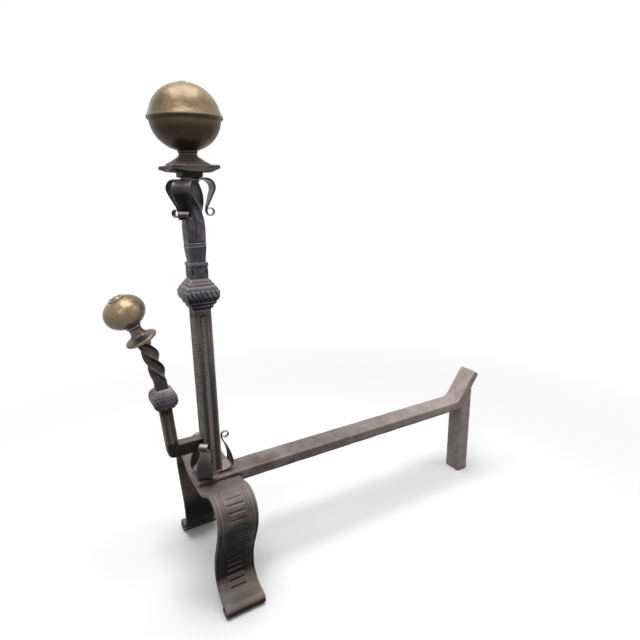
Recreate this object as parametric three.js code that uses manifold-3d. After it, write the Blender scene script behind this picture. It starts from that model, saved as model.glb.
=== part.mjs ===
// Forged iron andiron with brass finials, in millimetres, +Z up, standing on z = 0.
// The post stands on a cupid's-bow arch, the billet bar runs back from it along +Y,
// and the guard stands in front of it towards -Y.
import * as THREE from "three";
import { mergeVertices } from "three/addons/utils/BufferGeometryUtils.js";
import Module from "manifold-3d";

const wasm = await Module();
wasm.setup();

// ---- Clearances -------------------------------------------------------------------
const SEAT_GAP = 0.2; // between two faces that bear on each other
const HOLE_GAP = 0.3; // all round a tenon, a tang or a bar in its hole

// ---- Base arch: one wide strap, bent to a cupid's bow with rolled toes -----------------
const ARCH_THICKNESS = 7;
const ARCH_FRONT = 30.5; // from the post's axis to the front edge
const LEG_BACK = 30; // from the post's axis to the back edge, at the legs
const CROWN_BACK = 39; // the same where the billet bar crosses
const TOE_THICKNESS = 4.5;
const SEAT_HALF = 22; // flat under the billet bar, half its length
const RISE_TURN = 28; // degrees
const RISE_BEND = 22;
const RISE_RUN = 24;
const SHOULDER_TURN = -128;
const SHOULDER_RADIUS = 29;
const THIGH_TURN = -14;
const THIGH_BEND = 30;
const SHIN_RUN = 29;
const SHIN_TURN = 24;
const SHIN_BEND = 40;
const FOOT_TURN = 85;
const FOOT_RADIUS = 31.7;
const TOE_RUN = 6;
const TOE_RADIUS = 6.75;
const TOE_TURN = -175;
const SOLE_RUN = 5; // flat strip that stands on the hearth
const CURL_TURN = -85;
const CURL_RADIUS = 5.5;

// ---- Billet bar with its upturned log stop, and the rear leg --------------------------
const BAR_WIDTH = 38.5;
const BAR_DEPTH = 19;
const TONGUE_DEPTH = 8.2; // the bar is drawn thin where it lies on the arch
const TONGUE_SLOPE = 3;
const BAR_LENGTH = 522; // post axis to the foot of the log stop
const STOP_LENGTH = 73;
const STOP_ANGLE = 54; // degrees above the bar
const STOP_TIP_DEPTH = 15.5;
const STOP_FILLET = 10;
const BAR_EDGE = 1.2; // worn edges
const LEG_WIDTH = 37;
const LEG_DEPTH = 26;
const LEG_SETBACK = 3.2; // front of the leg behind the outer corner of the bend
const LEG_TENON_RADIUS = 5;
const LEG_TENON_LENGTH = 12;

// ---- Post -------------------------------------------------------------------------
const SHAFT_SIDE = 25.4;
const BAR_CHAMFER = 1.2; // worn corners of the square bars
const LOWER_SHAFT_LENGTH = 258;
const CAPITAL_HEIGHT = 44.4;
const CAPITAL_SIDE = 49;
const CAPITAL_TOP_SIDE = 28;
const CAPITAL_FOOT_SIDE = 29.6;
const BLOCK_SIDE = 26.6;
const BLOCK_HEIGHT = 23;
const BLOCK_BEAD = 5; // height of the roll round the top of the block
const BLOCK_BEAD_PROUD = 0.8;
const WAIST_SIDE = 21.2;
const BAND_SIDE = 25.2;
const WAIST_HEIGHT = 20.4;
const BAND_HEIGHT = 6;
const BAND_PROUD = 0.6;
const SWELL_SIDE = 26.8;
const SWELL_HEIGHT = 20;
const TWIST_LENGTH = 60.7;
const TWIST_TURN = -96; // degrees, going up
const TWIST_TOP_SIDE = 24.4;
const TWIST_HOLLOW = 0.9; // how far the faces are drawn in by the twist
const FOOT_TENON_RADIUS = 7;
const TANG_RADIUS = 5;
const TANG_TIP_RADIUS = 4;

// ---- Scrolled straps: three under the cap and three at the post's foot -------------------
const STRAP_THICKNESS = 3;
const STRAP_TIP_THICKNESS = 1.6;
const STRAP_ROOT_THICKNESS = 1.8; // drawn thin where the three eyes lie on each other
const STRAP_WIDTH = 26;
const ROOT_TAPER = 3.5;
const SCROLL_TURN = 290; // degrees
const SCROLL_TIGHTENING = 0.92;
const STRAP_ANGLES = { right: -40, left: -140, back: 90 }; // in plan, clear of the guard's arm
const UPPER_STRAP = {
  flat: 18.8,
  bellyRadius: 11.4,
  bellyTurn: 112,
  flank: 20,
  flankTurn: 2,
  neck: 10,
  neckTurn: -28,
  scrollRadius: 5.3,
  scrollWidth: 15,
};
const LOWER_STRAP = {
  flat: 21,
  bellyRadius: 9.5,
  bellyTurn: 95,
  flank: 34,
  flankTurn: 24,
  neck: 12,
  neckTurn: -41,
  scrollRadius: 5.3,
  scrollWidth: 14,
};

// ---- Cap, pedestal and ball -----------------------------------------------------------
const CAP_BLOCK_SIDE = 29;
const CAP_BLOCK_HEIGHT = 6.4;
const PLATE_SIDE = 66.2;
const PLATE_THICKNESS = 8.5;
const PLATE_HOLLOW = 2.6; // how far each side is curved in
const PLATE_TIP_CUT = 2.5;
const PLATE_TIP_THICKNESS = 4.5;
const PLATE_BEVEL_START = 27; // from the axis to where the corners start to thin
const PLATE_EDGE = 1.2;
const PEDESTAL_RADIUS = 29.3;
const PEDESTAL_RIM = 2.2;
const PEDESTAL_HEIGHT = 18.4;
const PEDESTAL_CONE_RADIUS = 14; // at the top of the straight cone
const PEDESTAL_CONE_HEIGHT = 10.6;
const PEDESTAL_NECK_RADIUS = 12;
const PEDESTAL_COLLAR_RADIUS = 13.4;
const PEDESTAL_COLLAR_HEIGHT = 2.2;
const BALL_RADIUS = 46;
const BALL_BOWL_DEPTH = 41.5; // of the lower half, were it not cut flat on its seat
const BALL_TOP_HEIGHT = 43.2;
const BALL_WALL = 3;
const BALL_SEAT_RADIUS = 13;
const BAND_RADIUS = 49;
const BALL_BAND_HEIGHT = 5; // over which the rim flares out of the ball
const BALL_PEEN_RADIUS = 5.2;
const BALL_PEEN_HEIGHT = 1.8;

// ---- Guard ------------------------------------------------------------------------
const GUARD_SIDE = 16.8;
const ARM_HEIGHT = 21; // the arm is deeper than it is wide
const ARM_ABOVE_BAR = 56; // from the top of the billet bar to the arm's centre line
const GUARD_REACH = 57; // from the post's axis to the guard's foot
const GUARD_CORNER_RADIUS = 5;
const GUARD_LEAN = 4.2; // degrees, forwards
const GUARD_TOP_LEAN = 24;
const GUARD_STRAIGHT = 101;
const GUARD_CURVE = 76;
const GUARD_TWIST_TURN = -225; // degrees, going up
const GUARD_TWIST_PLAIN = 13; // untwisted length above the collar
const GUARD_TWIST_HOLLOW = 0.7;
const GUARD_TENON_RADIUS = 5.5;
const GUARD_TANG_RADIUS = 4;
const GUARD_PEEN_RADIUS = 8;
const GUARD_PEEN_HEIGHT = 2.6;
const GUARD_COLLAR_SIDE = 34.6;
const GUARD_COLLAR_HEIGHT = 32;
const GUARD_COLLAR_FOOT = 68.5; // along the guard, from its corner
const SAUCER_RADIUS = 22;
const SAUCER_HEIGHT = 25;
const SAUCER_RIM = 3.2;
const SAUCER_STEP_RADIUS = 16;
const SAUCER_STEP_HEIGHT = 6.4;
const SAUCER_NECK_RADIUS = 8.4;
const SAUCER_COLLAR_RADIUS = 10.6;
const SAUCER_COLLAR_HEIGHT = 2.4;
const KNOB_RADIUS = 27.8;
const KNOB_HALF_HEIGHT = 22.3;
const KNOB_SEAT_RADIUS = 10;
const KNOB_SEAM = -6; // the joint of the two halves, below the middle
const KNOB_GROOVE = 0.7;
const KNOB_WALL = 3;
const KNOB_WASHER_RADIUS = 10.5;
const KNOB_WASHER_THICKNESS = 1.6;
const KNOB_PEEN_RADIUS = 5.4;
const KNOB_PEEN_HEIGHT = 1.6;

// ---- Foot washer and riveted end ---------------------------------------------------------
const FOOT_WASHER_RADIUS = 15;
const FOOT_WASHER_THICKNESS = 4;
const FOOT_PEEN_RADIUS = 10.5;
const FOOT_PEEN_HEIGHT = 4;

// ---- How finely curves are cut -----------------------------------------------------------
const STEP_TURN = 14; // degrees of bend to a step of a strap
const TWIST_STEP = 7.5; // degrees of twist to a ring
const ROUND_SIDES = 20;
const BALL_SIDES = 28;
const BALL_STEPS = 8;
const HOLLOW_STEPS = 5; // on the inside of a shell

const rad = THREE.MathUtils.degToRad;
const { lerp, smoothstep } = THREE.MathUtils;

// ---- Closed solids from rings, profiles and outlines -----------------------------------------

// Six times the volume inside a geometry: negative when its faces point inwards.
function signedVolume(geometry) {
  const p = geometry.getAttribute("position");
  const index = geometry.index;
  const [a, b, c] = [new THREE.Vector3(), new THREE.Vector3(), new THREE.Vector3()];
  let sum = 0;
  for (let i = 0; i < index.count; i += 3) {
    a.fromBufferAttribute(p, index.getX(i));
    b.fromBufferAttribute(p, index.getX(i + 1));
    c.fromBufferAttribute(p, index.getX(i + 2));
    sum += a.dot(b.cross(c));
  }
  return sum;
}

// The same surface with shared vertices and its faces pointing out.
function closed(geometry) {
  const bare = geometry.clone();
  bare.deleteAttribute("normal");
  bare.deleteAttribute("uv");
  const merged = mergeVertices(bare, 1e-4);
  const index = Array.from(merged.index.array);
  const kept = [];
  for (let i = 0; i < index.length; i += 3) {
    const [a, b, c] = index.slice(i, i + 3);
    if (a !== b && b !== c && c !== a) kept.push(a, b, c);
  }
  merged.setIndex(kept);
  if (signedVolume(merged) < 0) {
    for (let i = 0; i < kept.length; i += 3) kept.splice(i + 1, 2, kept[i + 2], kept[i + 1]);
    merged.setIndex(kept);
  }
  return merged;
}

function solid(geometry) {
  const g = closed(geometry);
  return new wasm.Manifold(
    new wasm.Mesh({
      numProp: 3,
      vertProperties: new Float32Array(g.getAttribute("position").array),
      triVerts: new Uint32Array(g.index.array),
    }),
  );
}

function geometryOf(manifold) {
  const mesh = manifold.getMesh();
  const g = new THREE.BufferGeometry();
  g.setAttribute("position", new THREE.BufferAttribute(mesh.vertProperties, 3));
  g.setIndex(new THREE.BufferAttribute(mesh.triVerts, 1));
  return g;
}

function join(...geometries) {
  return geometryOf(geometries.map(solid).reduce((sum, next) => sum.add(next)));
}

function cut(geometry, ...tools) {
  return geometryOf(tools.map(solid).reduce((left, tool) => left.subtract(tool), solid(geometry)));
}

// Skin over rings of equal point count, with a fan from its middle closing each end.
function loft(rings) {
  const sides = rings[0].length;
  const middle = (ring) =>
    ring.reduce((sum, p) => sum.add(p), new THREE.Vector3()).divideScalar(sides);
  const points = [...rings.flat(), middle(rings[0]), middle(rings[rings.length - 1])];
  const first = rings.length * sides;
  const index = [];
  for (let r = 0; r + 1 < rings.length; r++)
    for (let k = 0; k < sides; k++) {
      const a = r * sides + k;
      const b = r * sides + ((k + 1) % sides);
      index.push(a, b, b + sides, a, b + sides, a + sides);
    }
  for (let k = 0; k < sides; k++) {
    const next = (k + 1) % sides;
    const last = (rings.length - 1) * sides;
    index.push(first, next, k, first + 1, last + k, last + next);
  }
  const g = new THREE.BufferGeometry().setFromPoints(points);
  g.setIndex(index);
  return closed(g);
}

// Round solid about +Z from a profile of [radius, height] that closes on itself or on the axis.
function turned(profile, sides) {
  const points = profile.map(([r, z]) => new THREE.Vector2(r, z));
  return closed(new THREE.LatheGeometry(points, sides).rotateX(Math.PI / 2));
}

function rod(radius, from, to, sides = ROUND_SIDES) {
  return turned([[0, from], [radius, from], [radius, to], [0, to]], sides);
}

// Low dome, as a hammered rivet end, on a flat at height z; up is 1 or -1.
function peen(radius, height, z, up, sides = ROUND_SIDES) {
  const steps = 4;
  const arc = Array.from({ length: steps + 1 }, (_, i) => {
    const a = (i / steps) * (Math.PI / 2);
    return [radius * Math.cos(a), z + up * height * Math.sin(a)];
  });
  arc[steps][0] = 0;
  return turned([[0, z], ...arc], sides);
}

// Outline in the plane of Y and Z, given as [y, z], made a bar across X with worn edges.
function acrossX(shape, width, edge) {
  const g = new THREE.ExtrudeGeometry(shape, {
    depth: width - 2 * edge,
    bevelSize: edge,
    bevelThickness: edge,
    bevelOffset: -edge,
    bevelSegments: 1,
    curveSegments: 5,
  });
  g.translate(0, 0, edge - width / 2);
  const turn = new THREE.Matrix4().makeBasis(
    new THREE.Vector3(0, 1, 0),
    new THREE.Vector3(0, 0, 1),
    new THREE.Vector3(1, 0, 0),
  );
  return closed(g.applyMatrix4(turn));
}

// ---- Square bars ------------------------------------------------------------------------

// One ring of a square bar: worn corners, and faces drawn in at their middle by hollow.
function squareRing({ side, chamfer, hollow = 0, turn = 0 }) {
  const h = side / 2;
  const ring = [];
  for (let k = 0; k < 4; k++) {
    const quarter = rad(turn + 90 * k);
    const corner = [[h, chamfer - h], [h - hollow, 0], [h, h - chamfer]];
    for (const [x, y] of corner)
      ring.push(new THREE.Vector2(x, y).rotateAround(new THREE.Vector2(), quarter));
  }
  return ring;
}

// Straight square bar up the Z axis; each station is a ring at its height z.
function squareBar(stations) {
  return loft(stations.map((s) => squareRing(s).map((p) => new THREE.Vector3(p.x, p.y, s.z))));
}

// ---- Bent straps ----------------------------------------------------------------------------

// Walks a bent line in its plane: each bend has a length and a turn in degrees, 0 when straight.
function bend(start, heading, bends) {
  const line = [{ x: start[0], z: start[1], heading, run: 0 }];
  for (const { length, turn = 0 } of bends) {
    const steps = Math.max(1, Math.ceil(Math.abs(turn) / STEP_TURN));
    for (let i = 0; i < steps; i++) {
      const last = line[line.length - 1];
      const half = rad(last.heading + turn / steps / 2);
      const part = rad(turn / steps / 2);
      const chord = (length / steps) * (part ? Math.sin(part) / part : 1);
      line.push({
        x: last.x + chord * Math.cos(half),
        z: last.z + chord * Math.sin(half),
        heading: last.heading + turn / steps,
        run: last.run + length / steps,
      });
    }
  }
  return line;
}

const arc = (turn, radius) => ({ length: Math.abs(rad(turn)) * radius, turn });

// Both arms of a symmetrical strap from the line of one arm.
function mirrored(line) {
  const other = line.slice(1).map((p) => ({ ...p, x: -p.x, heading: -p.heading }));
  return [...other.reverse(), ...line];
}

// Strap along a line in the plane of X and Z. The section gives thickness, front and back
// at each point, and edge is the chamfer of its four long edges.
function strap(line, section, edge) {
  return loft(
    line.map((p) => {
      const { thickness, front, back } = section(p);
      const t = thickness / 2;
      const e = edge;
      const up = new THREE.Vector3(-Math.sin(rad(p.heading)), 0, Math.cos(rad(p.heading)));
      const sharp = [[front, -t], [back, -t], [back, t], [front, t]];
      const worn = [
        [front, e - t], [front + e, -t], [back - e, -t], [back, e - t],
        [back, t - e], [back - e, t], [front + e, t], [front, t - e],
      ];
      const outline = edge ? worn : sharp;
      return outline.map(([y, n]) => new THREE.Vector3(p.x, y, p.z).addScaledVector(up, n));
    }),
  );
}

// ---- Base arch ---------------------------------------------------------------------------

function archLine() {
  const leg = bend([0, 0], 0, [
    { length: SEAT_HALF },
    { length: RISE_BEND, turn: RISE_TURN },
    { length: RISE_RUN },
    arc(SHOULDER_TURN, SHOULDER_RADIUS),
    { length: THIGH_BEND, turn: THIGH_TURN },
    { length: SHIN_RUN },
    { length: SHIN_BEND, turn: SHIN_TURN },
    arc(FOOT_TURN, FOOT_RADIUS),
    { length: TOE_RUN },
    arc(TOE_TURN, TOE_RADIUS),
    { length: SOLE_RUN },
    arc(CURL_TURN, CURL_RADIUS),
  ]);
  return leg;
}

const LEG_LINE = archLine();
const LEG_RUN = LEG_LINE[LEG_LINE.length - 1].run;
const TOE_TAPER_RUN = 90; // the last of the strap, drawn thinner towards the toe
const CROWN_RUN = 60; // over which the crown's back edge narrows to the leg's

function archThickness(run) {
  return lerp(ARCH_THICKNESS, TOE_THICKNESS, smoothstep(run, LEG_RUN - TOE_TAPER_RUN, LEG_RUN));
}

// The seat's height follows from the bends, with the sole on the floor.
const SOLE_DEPTH = Math.max(...LEG_LINE.map((p) => archThickness(p.run) / 2 - p.z));
const SEAT_Z = SOLE_DEPTH + ARCH_THICKNESS / 2;

function baseArch() {
  const line = mirrored(LEG_LINE).map((p) => ({ ...p, z: p.z + SOLE_DEPTH }));
  const body = strap(
    line,
    ({ run }) => ({
      thickness: archThickness(run),
      front: -ARCH_FRONT,
      back: lerp(CROWN_BACK, LEG_BACK, smoothstep(run, SEAT_HALF, SEAT_HALF + CROWN_RUN)),
    }),
    1,
  );
  return cut(body, rod(FOOT_TENON_RADIUS + HOLE_GAP, SEAT_Z - 2 * ARCH_THICKNESS, SEAT_Z + 1));
}

// ---- Billet bar and rear leg ------------------------------------------------------------------

const BAR_TOP = SEAT_Z + SEAT_GAP + TONGUE_DEPTH;
const BAR_BOTTOM = BAR_TOP - BAR_DEPTH;
const stopAlong = new THREE.Vector2(Math.cos(rad(STOP_ANGLE)), Math.sin(rad(STOP_ANGLE)));
const stopInto = new THREE.Vector2(stopAlong.y, -stopAlong.x); // from its face into the iron
const stopFoot = new THREE.Vector2(BAR_LENGTH, BAR_TOP);
const stopTip = stopFoot.clone().addScaledVector(stopAlong, STOP_LENGTH);
const stopTipBack = stopTip.clone().addScaledVector(stopInto, STOP_TIP_DEPTH);
const bendCorner = new THREE.Vector2(
  BAR_LENGTH + BAR_DEPTH * Math.tan(rad(STOP_ANGLE / 2)),
  BAR_BOTTOM,
);

function billetBar() {
  const shoulder = CROWN_BACK + SEAT_GAP;
  const fillet = stopFoot.clone().addScaledVector(stopAlong, STOP_FILLET);
  const shape = new THREE.Shape();
  shape.moveTo(-ARCH_FRONT, BAR_TOP);
  shape.lineTo(-ARCH_FRONT, BAR_TOP - TONGUE_DEPTH);
  shape.lineTo(shoulder, BAR_TOP - TONGUE_DEPTH);
  shape.lineTo(shoulder + TONGUE_SLOPE, BAR_BOTTOM);
  shape.lineTo(bendCorner.x, bendCorner.y);
  shape.lineTo(stopTipBack.x, stopTipBack.y);
  shape.lineTo(stopTip.x, stopTip.y);
  shape.lineTo(fillet.x, fillet.y);
  shape.quadraticCurveTo(stopFoot.x, stopFoot.y, BAR_LENGTH - STOP_FILLET, BAR_TOP);
  const bar = acrossX(shape, BAR_WIDTH, BAR_EDGE);
  const tenonHole = rod(FOOT_TENON_RADIUS + HOLE_GAP, SEAT_Z - 1, BAR_TOP + 1);
  const mortise = legTenon(LEG_TENON_RADIUS + HOLE_GAP, LEG_TENON_LENGTH + HOLE_GAP);
  return cut(bar, tenonHole, mortise);
}

const LEG_FRONT = bendCorner.x + LEG_SETBACK;
const LEG_REAR = LEG_FRONT + LEG_DEPTH;
const underStop = stopTipBack.clone().sub(bendCorner).normalize();
const bevelHeight = (y) => bendCorner.y + ((y - bendCorner.x) * underStop.y) / underStop.x;

// Blind round tenon square to the back of the log stop, from inside the leg's bevelled head.
function legTenon(radius, length) {
  const middle = (LEG_FRONT + LEG_REAR) / 2;
  const across = new THREE.Vector3(0, -underStop.y, underStop.x);
  const turn = new THREE.Quaternion().setFromUnitVectors(new THREE.Vector3(0, 0, 1), across);
  const g = rod(radius, -LEG_DEPTH / 3, length);
  g.applyQuaternion(turn);
  return g.translate(0, middle, bevelHeight(middle));
}

function rearLeg() {
  const gap = SEAT_GAP / underStop.x;
  const shape = new THREE.Shape();
  shape.moveTo(LEG_FRONT, 0);
  shape.lineTo(LEG_REAR, 0);
  shape.lineTo(LEG_REAR, bevelHeight(LEG_REAR) - gap);
  shape.lineTo(LEG_FRONT, bevelHeight(LEG_FRONT) - gap);
  return join(acrossX(shape, LEG_WIDTH, BAR_EDGE), legTenon(LEG_TENON_RADIUS, LEG_TENON_LENGTH));
}

// ---- Scrolled straps --------------------------------------------------------------------------

function scrollLine(shape) {
  return bend([0, 0], 0, [
    { length: shape.flat - ROOT_TAPER },
    { length: ROOT_TAPER },
    arc(shape.bellyTurn, shape.bellyRadius),
    { length: shape.flank, turn: shape.flankTurn },
    { length: shape.neck, turn: shape.neckTurn },
    arc(-SCROLL_TURN / 2, shape.scrollRadius),
    arc(-SCROLL_TURN / 2, shape.scrollRadius * SCROLL_TIGHTENING),
  ]);
}

// One strap along +X, lying flat at z = 0 with its scroll curled up, its eye round the Z axis.
function scrolledStrap(shape, holeRadius) {
  const root = STRAP_ROOT_THICKNESS / 2;
  const swelling = (run) => smoothstep(run, shape.flat - ROOT_TAPER, shape.flat);
  const lift = STRAP_THICKNESS / 2 - root; // so that the flat thickens on its outer side only
  const line = scrollLine(shape).map((p) => ({ ...p, z: p.z + lift * swelling(p.run) }));
  const end = line[line.length - 1].run;
  const body = strap(
    line,
    ({ run }) => {
      const half = lerp(STRAP_WIDTH, shape.scrollWidth, smoothstep(run, shape.flat, 0.75 * end)) / 2;
      const full = lerp(STRAP_THICKNESS, STRAP_TIP_THICKNESS, smoothstep(run, shape.flat, end));
      const thickness = lerp(STRAP_ROOT_THICKNESS, full, swelling(run));
      return { thickness, front: -half, back: half };
    },
    0,
  );
  const eye = rod(STRAP_WIDTH / 2, -root, root);
  return cut(join(body, eye), rod(holeRadius + HOLE_GAP, -STRAP_THICKNESS, STRAP_THICKNESS));
}

const STRAP_PITCH = STRAP_ROOT_THICKNESS + SEAT_GAP;
const STRAP_STACK = Object.keys(STRAP_ANGLES).length * STRAP_PITCH;
const LOWER_STRAP_Z = BAR_TOP + SEAT_GAP + STRAP_ROOT_THICKNESS / 2;
const POST_FOOT_Z = BAR_TOP + SEAT_GAP + STRAP_STACK;

// ---- Post and capital ---------------------------------------------------------------------------

const CAPITAL_Z = POST_FOOT_Z + LOWER_SHAFT_LENGTH;
const BLOCK_Z = CAPITAL_Z + CAPITAL_HEIGHT;
const WAIST_Z = BLOCK_Z + BLOCK_HEIGHT;
const BAND_Z = WAIST_Z + WAIST_HEIGHT;
const SWELL_Z = BAND_Z + BAND_HEIGHT;
const TWIST_Z = SWELL_Z + SWELL_HEIGHT;
const SHAFT_TOP_Z = TWIST_Z + TWIST_LENGTH;
const UPPER_STRAP_Z = SHAFT_TOP_Z + SEAT_GAP + STRAP_ROOT_THICKNESS / 2;
const CAP_BLOCK_Z = SHAFT_TOP_Z + SEAT_GAP + STRAP_STACK;
const PLATE_Z = CAP_BLOCK_Z + CAP_BLOCK_HEIGHT + SEAT_GAP;
const PEDESTAL_Z = PLATE_Z + PLATE_THICKNESS + SEAT_GAP;
const BALL_SEAT_Z = PEDESTAL_Z + PEDESTAL_HEIGHT + SEAT_GAP;
const BALL_SEAT_DROP = BALL_BOWL_DEPTH * Math.sqrt(1 - (BALL_SEAT_RADIUS / BALL_RADIUS) ** 2);
const BALL_Z = BALL_SEAT_Z + BALL_SEAT_DROP;
const ARM_Z = BAR_TOP + ARM_ABOVE_BAR;

function shaftStations() {
  const plain = { side: SHAFT_SIDE, chamfer: BAR_CHAMFER };
  const bead = BLOCK_SIDE + 2 * BLOCK_BEAD_PROUD;
  const band = BAND_SIDE + 2 * BAND_PROUD;
  const stations = [
    { ...plain, z: POST_FOOT_Z },
    { ...plain, z: BLOCK_Z },
    { side: BLOCK_SIDE, chamfer: BAR_CHAMFER, z: BLOCK_Z + SEAT_GAP },
    { side: BLOCK_SIDE, chamfer: BAR_CHAMFER, z: WAIST_Z - BLOCK_BEAD },
    { side: bead, chamfer: BAR_CHAMFER, z: WAIST_Z - 0.7 * BLOCK_BEAD },
    { side: bead, chamfer: BAR_CHAMFER, z: WAIST_Z - 0.3 * BLOCK_BEAD },
    { side: BLOCK_SIDE, chamfer: BAR_CHAMFER, z: WAIST_Z },
    { side: WAIST_SIDE, chamfer: BAR_CHAMFER, z: WAIST_Z + SEAT_GAP },
    { side: BAND_SIDE, chamfer: BAR_CHAMFER, z: BAND_Z },
    { side: band, chamfer: BAR_CHAMFER, z: BAND_Z + 0.25 * BAND_HEIGHT },
    { side: band, chamfer: BAR_CHAMFER, z: BAND_Z + 0.75 * BAND_HEIGHT },
    { side: BAND_SIDE, chamfer: BAR_CHAMFER, z: SWELL_Z },
  ];
  return stations;
}

// From the square swell upwards the bar turns faster and faster, up to the rounded head.
function twistStations() {
  const rings = Math.ceil(Math.abs(TWIST_TURN) / TWIST_STEP) + 4;
  return Array.from({ length: rings + 1 }, (_, i) => {
    const u = i / rings;
    const swell = Math.sin((Math.PI / 2) * Math.min(1, 3 * u));
    const head = smoothstep(u, 0.55, 1);
    return {
      side: lerp(lerp(SWELL_SIDE - 0.6, SWELL_SIDE, swell), TWIST_TOP_SIDE, head),
      chamfer: lerp(BAR_CHAMFER, 3 * BAR_CHAMFER, head),
      hollow: TWIST_HOLLOW * smoothstep(u, 0, 0.5),
      turn: TWIST_TURN * u ** 1.6,
      z: TWIST_Z + TWIST_LENGTH * u,
    };
  });
}

function post() {
  const bar = squareBar([...shaftStations(), ...twistStations()]);
  const washerZ = SEAT_Z - ARCH_THICKNESS - SEAT_GAP - FOOT_WASHER_THICKNESS - SEAT_GAP;
  const tenon = rod(FOOT_TENON_RADIUS, washerZ, POST_FOOT_Z + 1);
  const foot = peen(FOOT_PEEN_RADIUS, FOOT_PEEN_HEIGHT, washerZ, -1);
  const tang = rod(TANG_RADIUS, SHAFT_TOP_Z - 1, BALL_Z);
  const ballTop = BALL_Z + BALL_TOP_HEIGHT;
  const tip = rod(TANG_TIP_RADIUS, BALL_Z - 1, ballTop + 0.5);
  const head = peen(BALL_PEEN_RADIUS, BALL_PEEN_HEIGHT, ballTop + SEAT_GAP, 1);
  const mortise = rod(GUARD_TENON_RADIUS + HOLE_GAP, -SHAFT_SIDE, SHAFT_SIDE);
  mortise.rotateX(Math.PI / 2).translate(0, 0, ARM_Z);
  return cut(join(bar, tenon, foot, tang, tip, head), mortise);
}

function footWasher() {
  const top = SEAT_Z - ARCH_THICKNESS - SEAT_GAP;
  const bottom = top - FOOT_WASHER_THICKNESS;
  const hole = FOOT_TENON_RADIUS + HOLE_GAP;
  return turned(
    [
      [hole, bottom],
      [FOOT_WASHER_RADIUS, bottom],
      [FOOT_WASHER_RADIUS, top],
      [hole, top],
      [hole, bottom],
    ],
    ROUND_SIDES,
  );
}

// A square moulded collar: cove, two fillets for dentils, wide ridge, gadrooned belly and
// astragal. Heights are shares of its height, sides run from the top side to the widest.
function mouldedCollar({ height, side, topSide, footSide, holeSide }) {
  const chamfer = BAR_CHAMFER;
  const out = (share) => lerp(topSide, side, share);
  const low = (share) => lerp(footSide, side, share);
  const stations = [
    [0, footSide - 1.6],
    [0.05, footSide + 1.2],
    [0.12, footSide + 1.2],
    [0.17, footSide],
    [0.28, low(0.5)],
    [0.39, low(0.86)],
    [0.46, side],
    [0.52, side],
    [0.56, out(0.9)],
    [0.66, out(0.84)],
    [0.67, out(0.7)],
    [0.77, out(0.62)],
    [0.78, out(0.44)],
    [0.88, out(0.2)],
    [1, topSide],
  ];
  const body = squareBar(
    stations.map(([share, s]) => ({ side: s, chamfer: 1.6 * chamfer, z: share * height })),
  );
  const hole = squareBar(
    [-1, height + 1].map((z) => ({ side: holeSide + 2 * HOLE_GAP, chamfer: chamfer / 2, z })),
  );
  return cut(body, hole);
}

function capital() {
  return mouldedCollar({
    height: CAPITAL_HEIGHT - SEAT_GAP,
    side: CAPITAL_SIDE,
    topSide: CAPITAL_TOP_SIDE,
    footSide: CAPITAL_FOOT_SIDE,
    holeSide: SHAFT_SIDE,
  }).translate(0, 0, CAPITAL_Z);
}

// ---- Cap plate, pedestal and ball ------------------------------------------------------------

function capBlock() {
  const h = CAP_BLOCK_SIDE;
  const block = squareBar([
    { side: h - 2, chamfer: BAR_CHAMFER, z: CAP_BLOCK_Z },
    { side: h, chamfer: BAR_CHAMFER, z: CAP_BLOCK_Z + 1 },
    { side: h, chamfer: BAR_CHAMFER, z: CAP_BLOCK_Z + CAP_BLOCK_HEIGHT },
  ]);
  const hole = rod(TANG_RADIUS + HOLE_GAP, CAP_BLOCK_Z - 1, PLATE_Z);
  return cut(block, hole);
}

// Wedge that thins one corner of the cap plate from below, along +X from the bevel's start.
function plateBevel() {
  const reach = (PLATE_SIDE / 2) * Math.SQRT2 - PLATE_BEVEL_START;
  const rise = PLATE_THICKNESS - PLATE_TIP_THICKNESS;
  const slope = Math.atan2(rise, reach);
  const wedge = new THREE.BoxGeometry(2 * reach, PLATE_SIDE, 2 * rise);
  wedge.translate(reach, 0, -rise).rotateY(-slope);
  return wedge.translate(PLATE_BEVEL_START, 0, PLATE_Z);
}

// Square plate whose sides curve in between its blunted and thinned corners.
function capPlate() {
  const h = PLATE_SIDE / 2;
  const c = PLATE_TIP_CUT;
  const shape = new THREE.Shape();
  shape.moveTo(h, c - h);
  for (let k = 0; k < 4; k++) {
    const turn = (x, y) =>
      new THREE.Vector2(x, y).rotateAround(new THREE.Vector2(), (k * Math.PI) / 2).toArray();
    shape.quadraticCurveTo(...turn(h - 2 * PLATE_HOLLOW, 0), ...turn(h, h - c));
    shape.lineTo(...turn(h - c, h));
  }
  shape.holes.push(new THREE.Path().absarc(0, 0, TANG_RADIUS + HOLE_GAP, 0, 2 * Math.PI));
  const g = new THREE.ExtrudeGeometry(shape, {
    depth: PLATE_THICKNESS - 2 * PLATE_EDGE,
    bevelSize: PLATE_EDGE,
    bevelThickness: PLATE_EDGE,
    bevelOffset: -PLATE_EDGE,
    bevelSegments: 1,
    curveSegments: 8,
  });
  g.translate(0, 0, PLATE_Z + PLATE_EDGE);
  const bevels = Array.from({ length: 4 }, (_, k) => plateBevel().rotateZ(rad(45 + 90 * k)));
  return cut(g, ...bevels);
}

// Points of a quarter-round or hollow between two profile points.
function sweep([r0, z0], [r1, z1], bulge, steps = 5) {
  return Array.from({ length: steps + 1 }, (_, i) => {
    const u = i / steps;
    const mid = 2 * u * (1 - u);
    return [
      (1 - u) ** 2 * r0 + mid * bulge[0] + u ** 2 * r1,
      (1 - u) ** 2 * z0 + mid * bulge[1] + u ** 2 * z1,
    ];
  });
}

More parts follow.
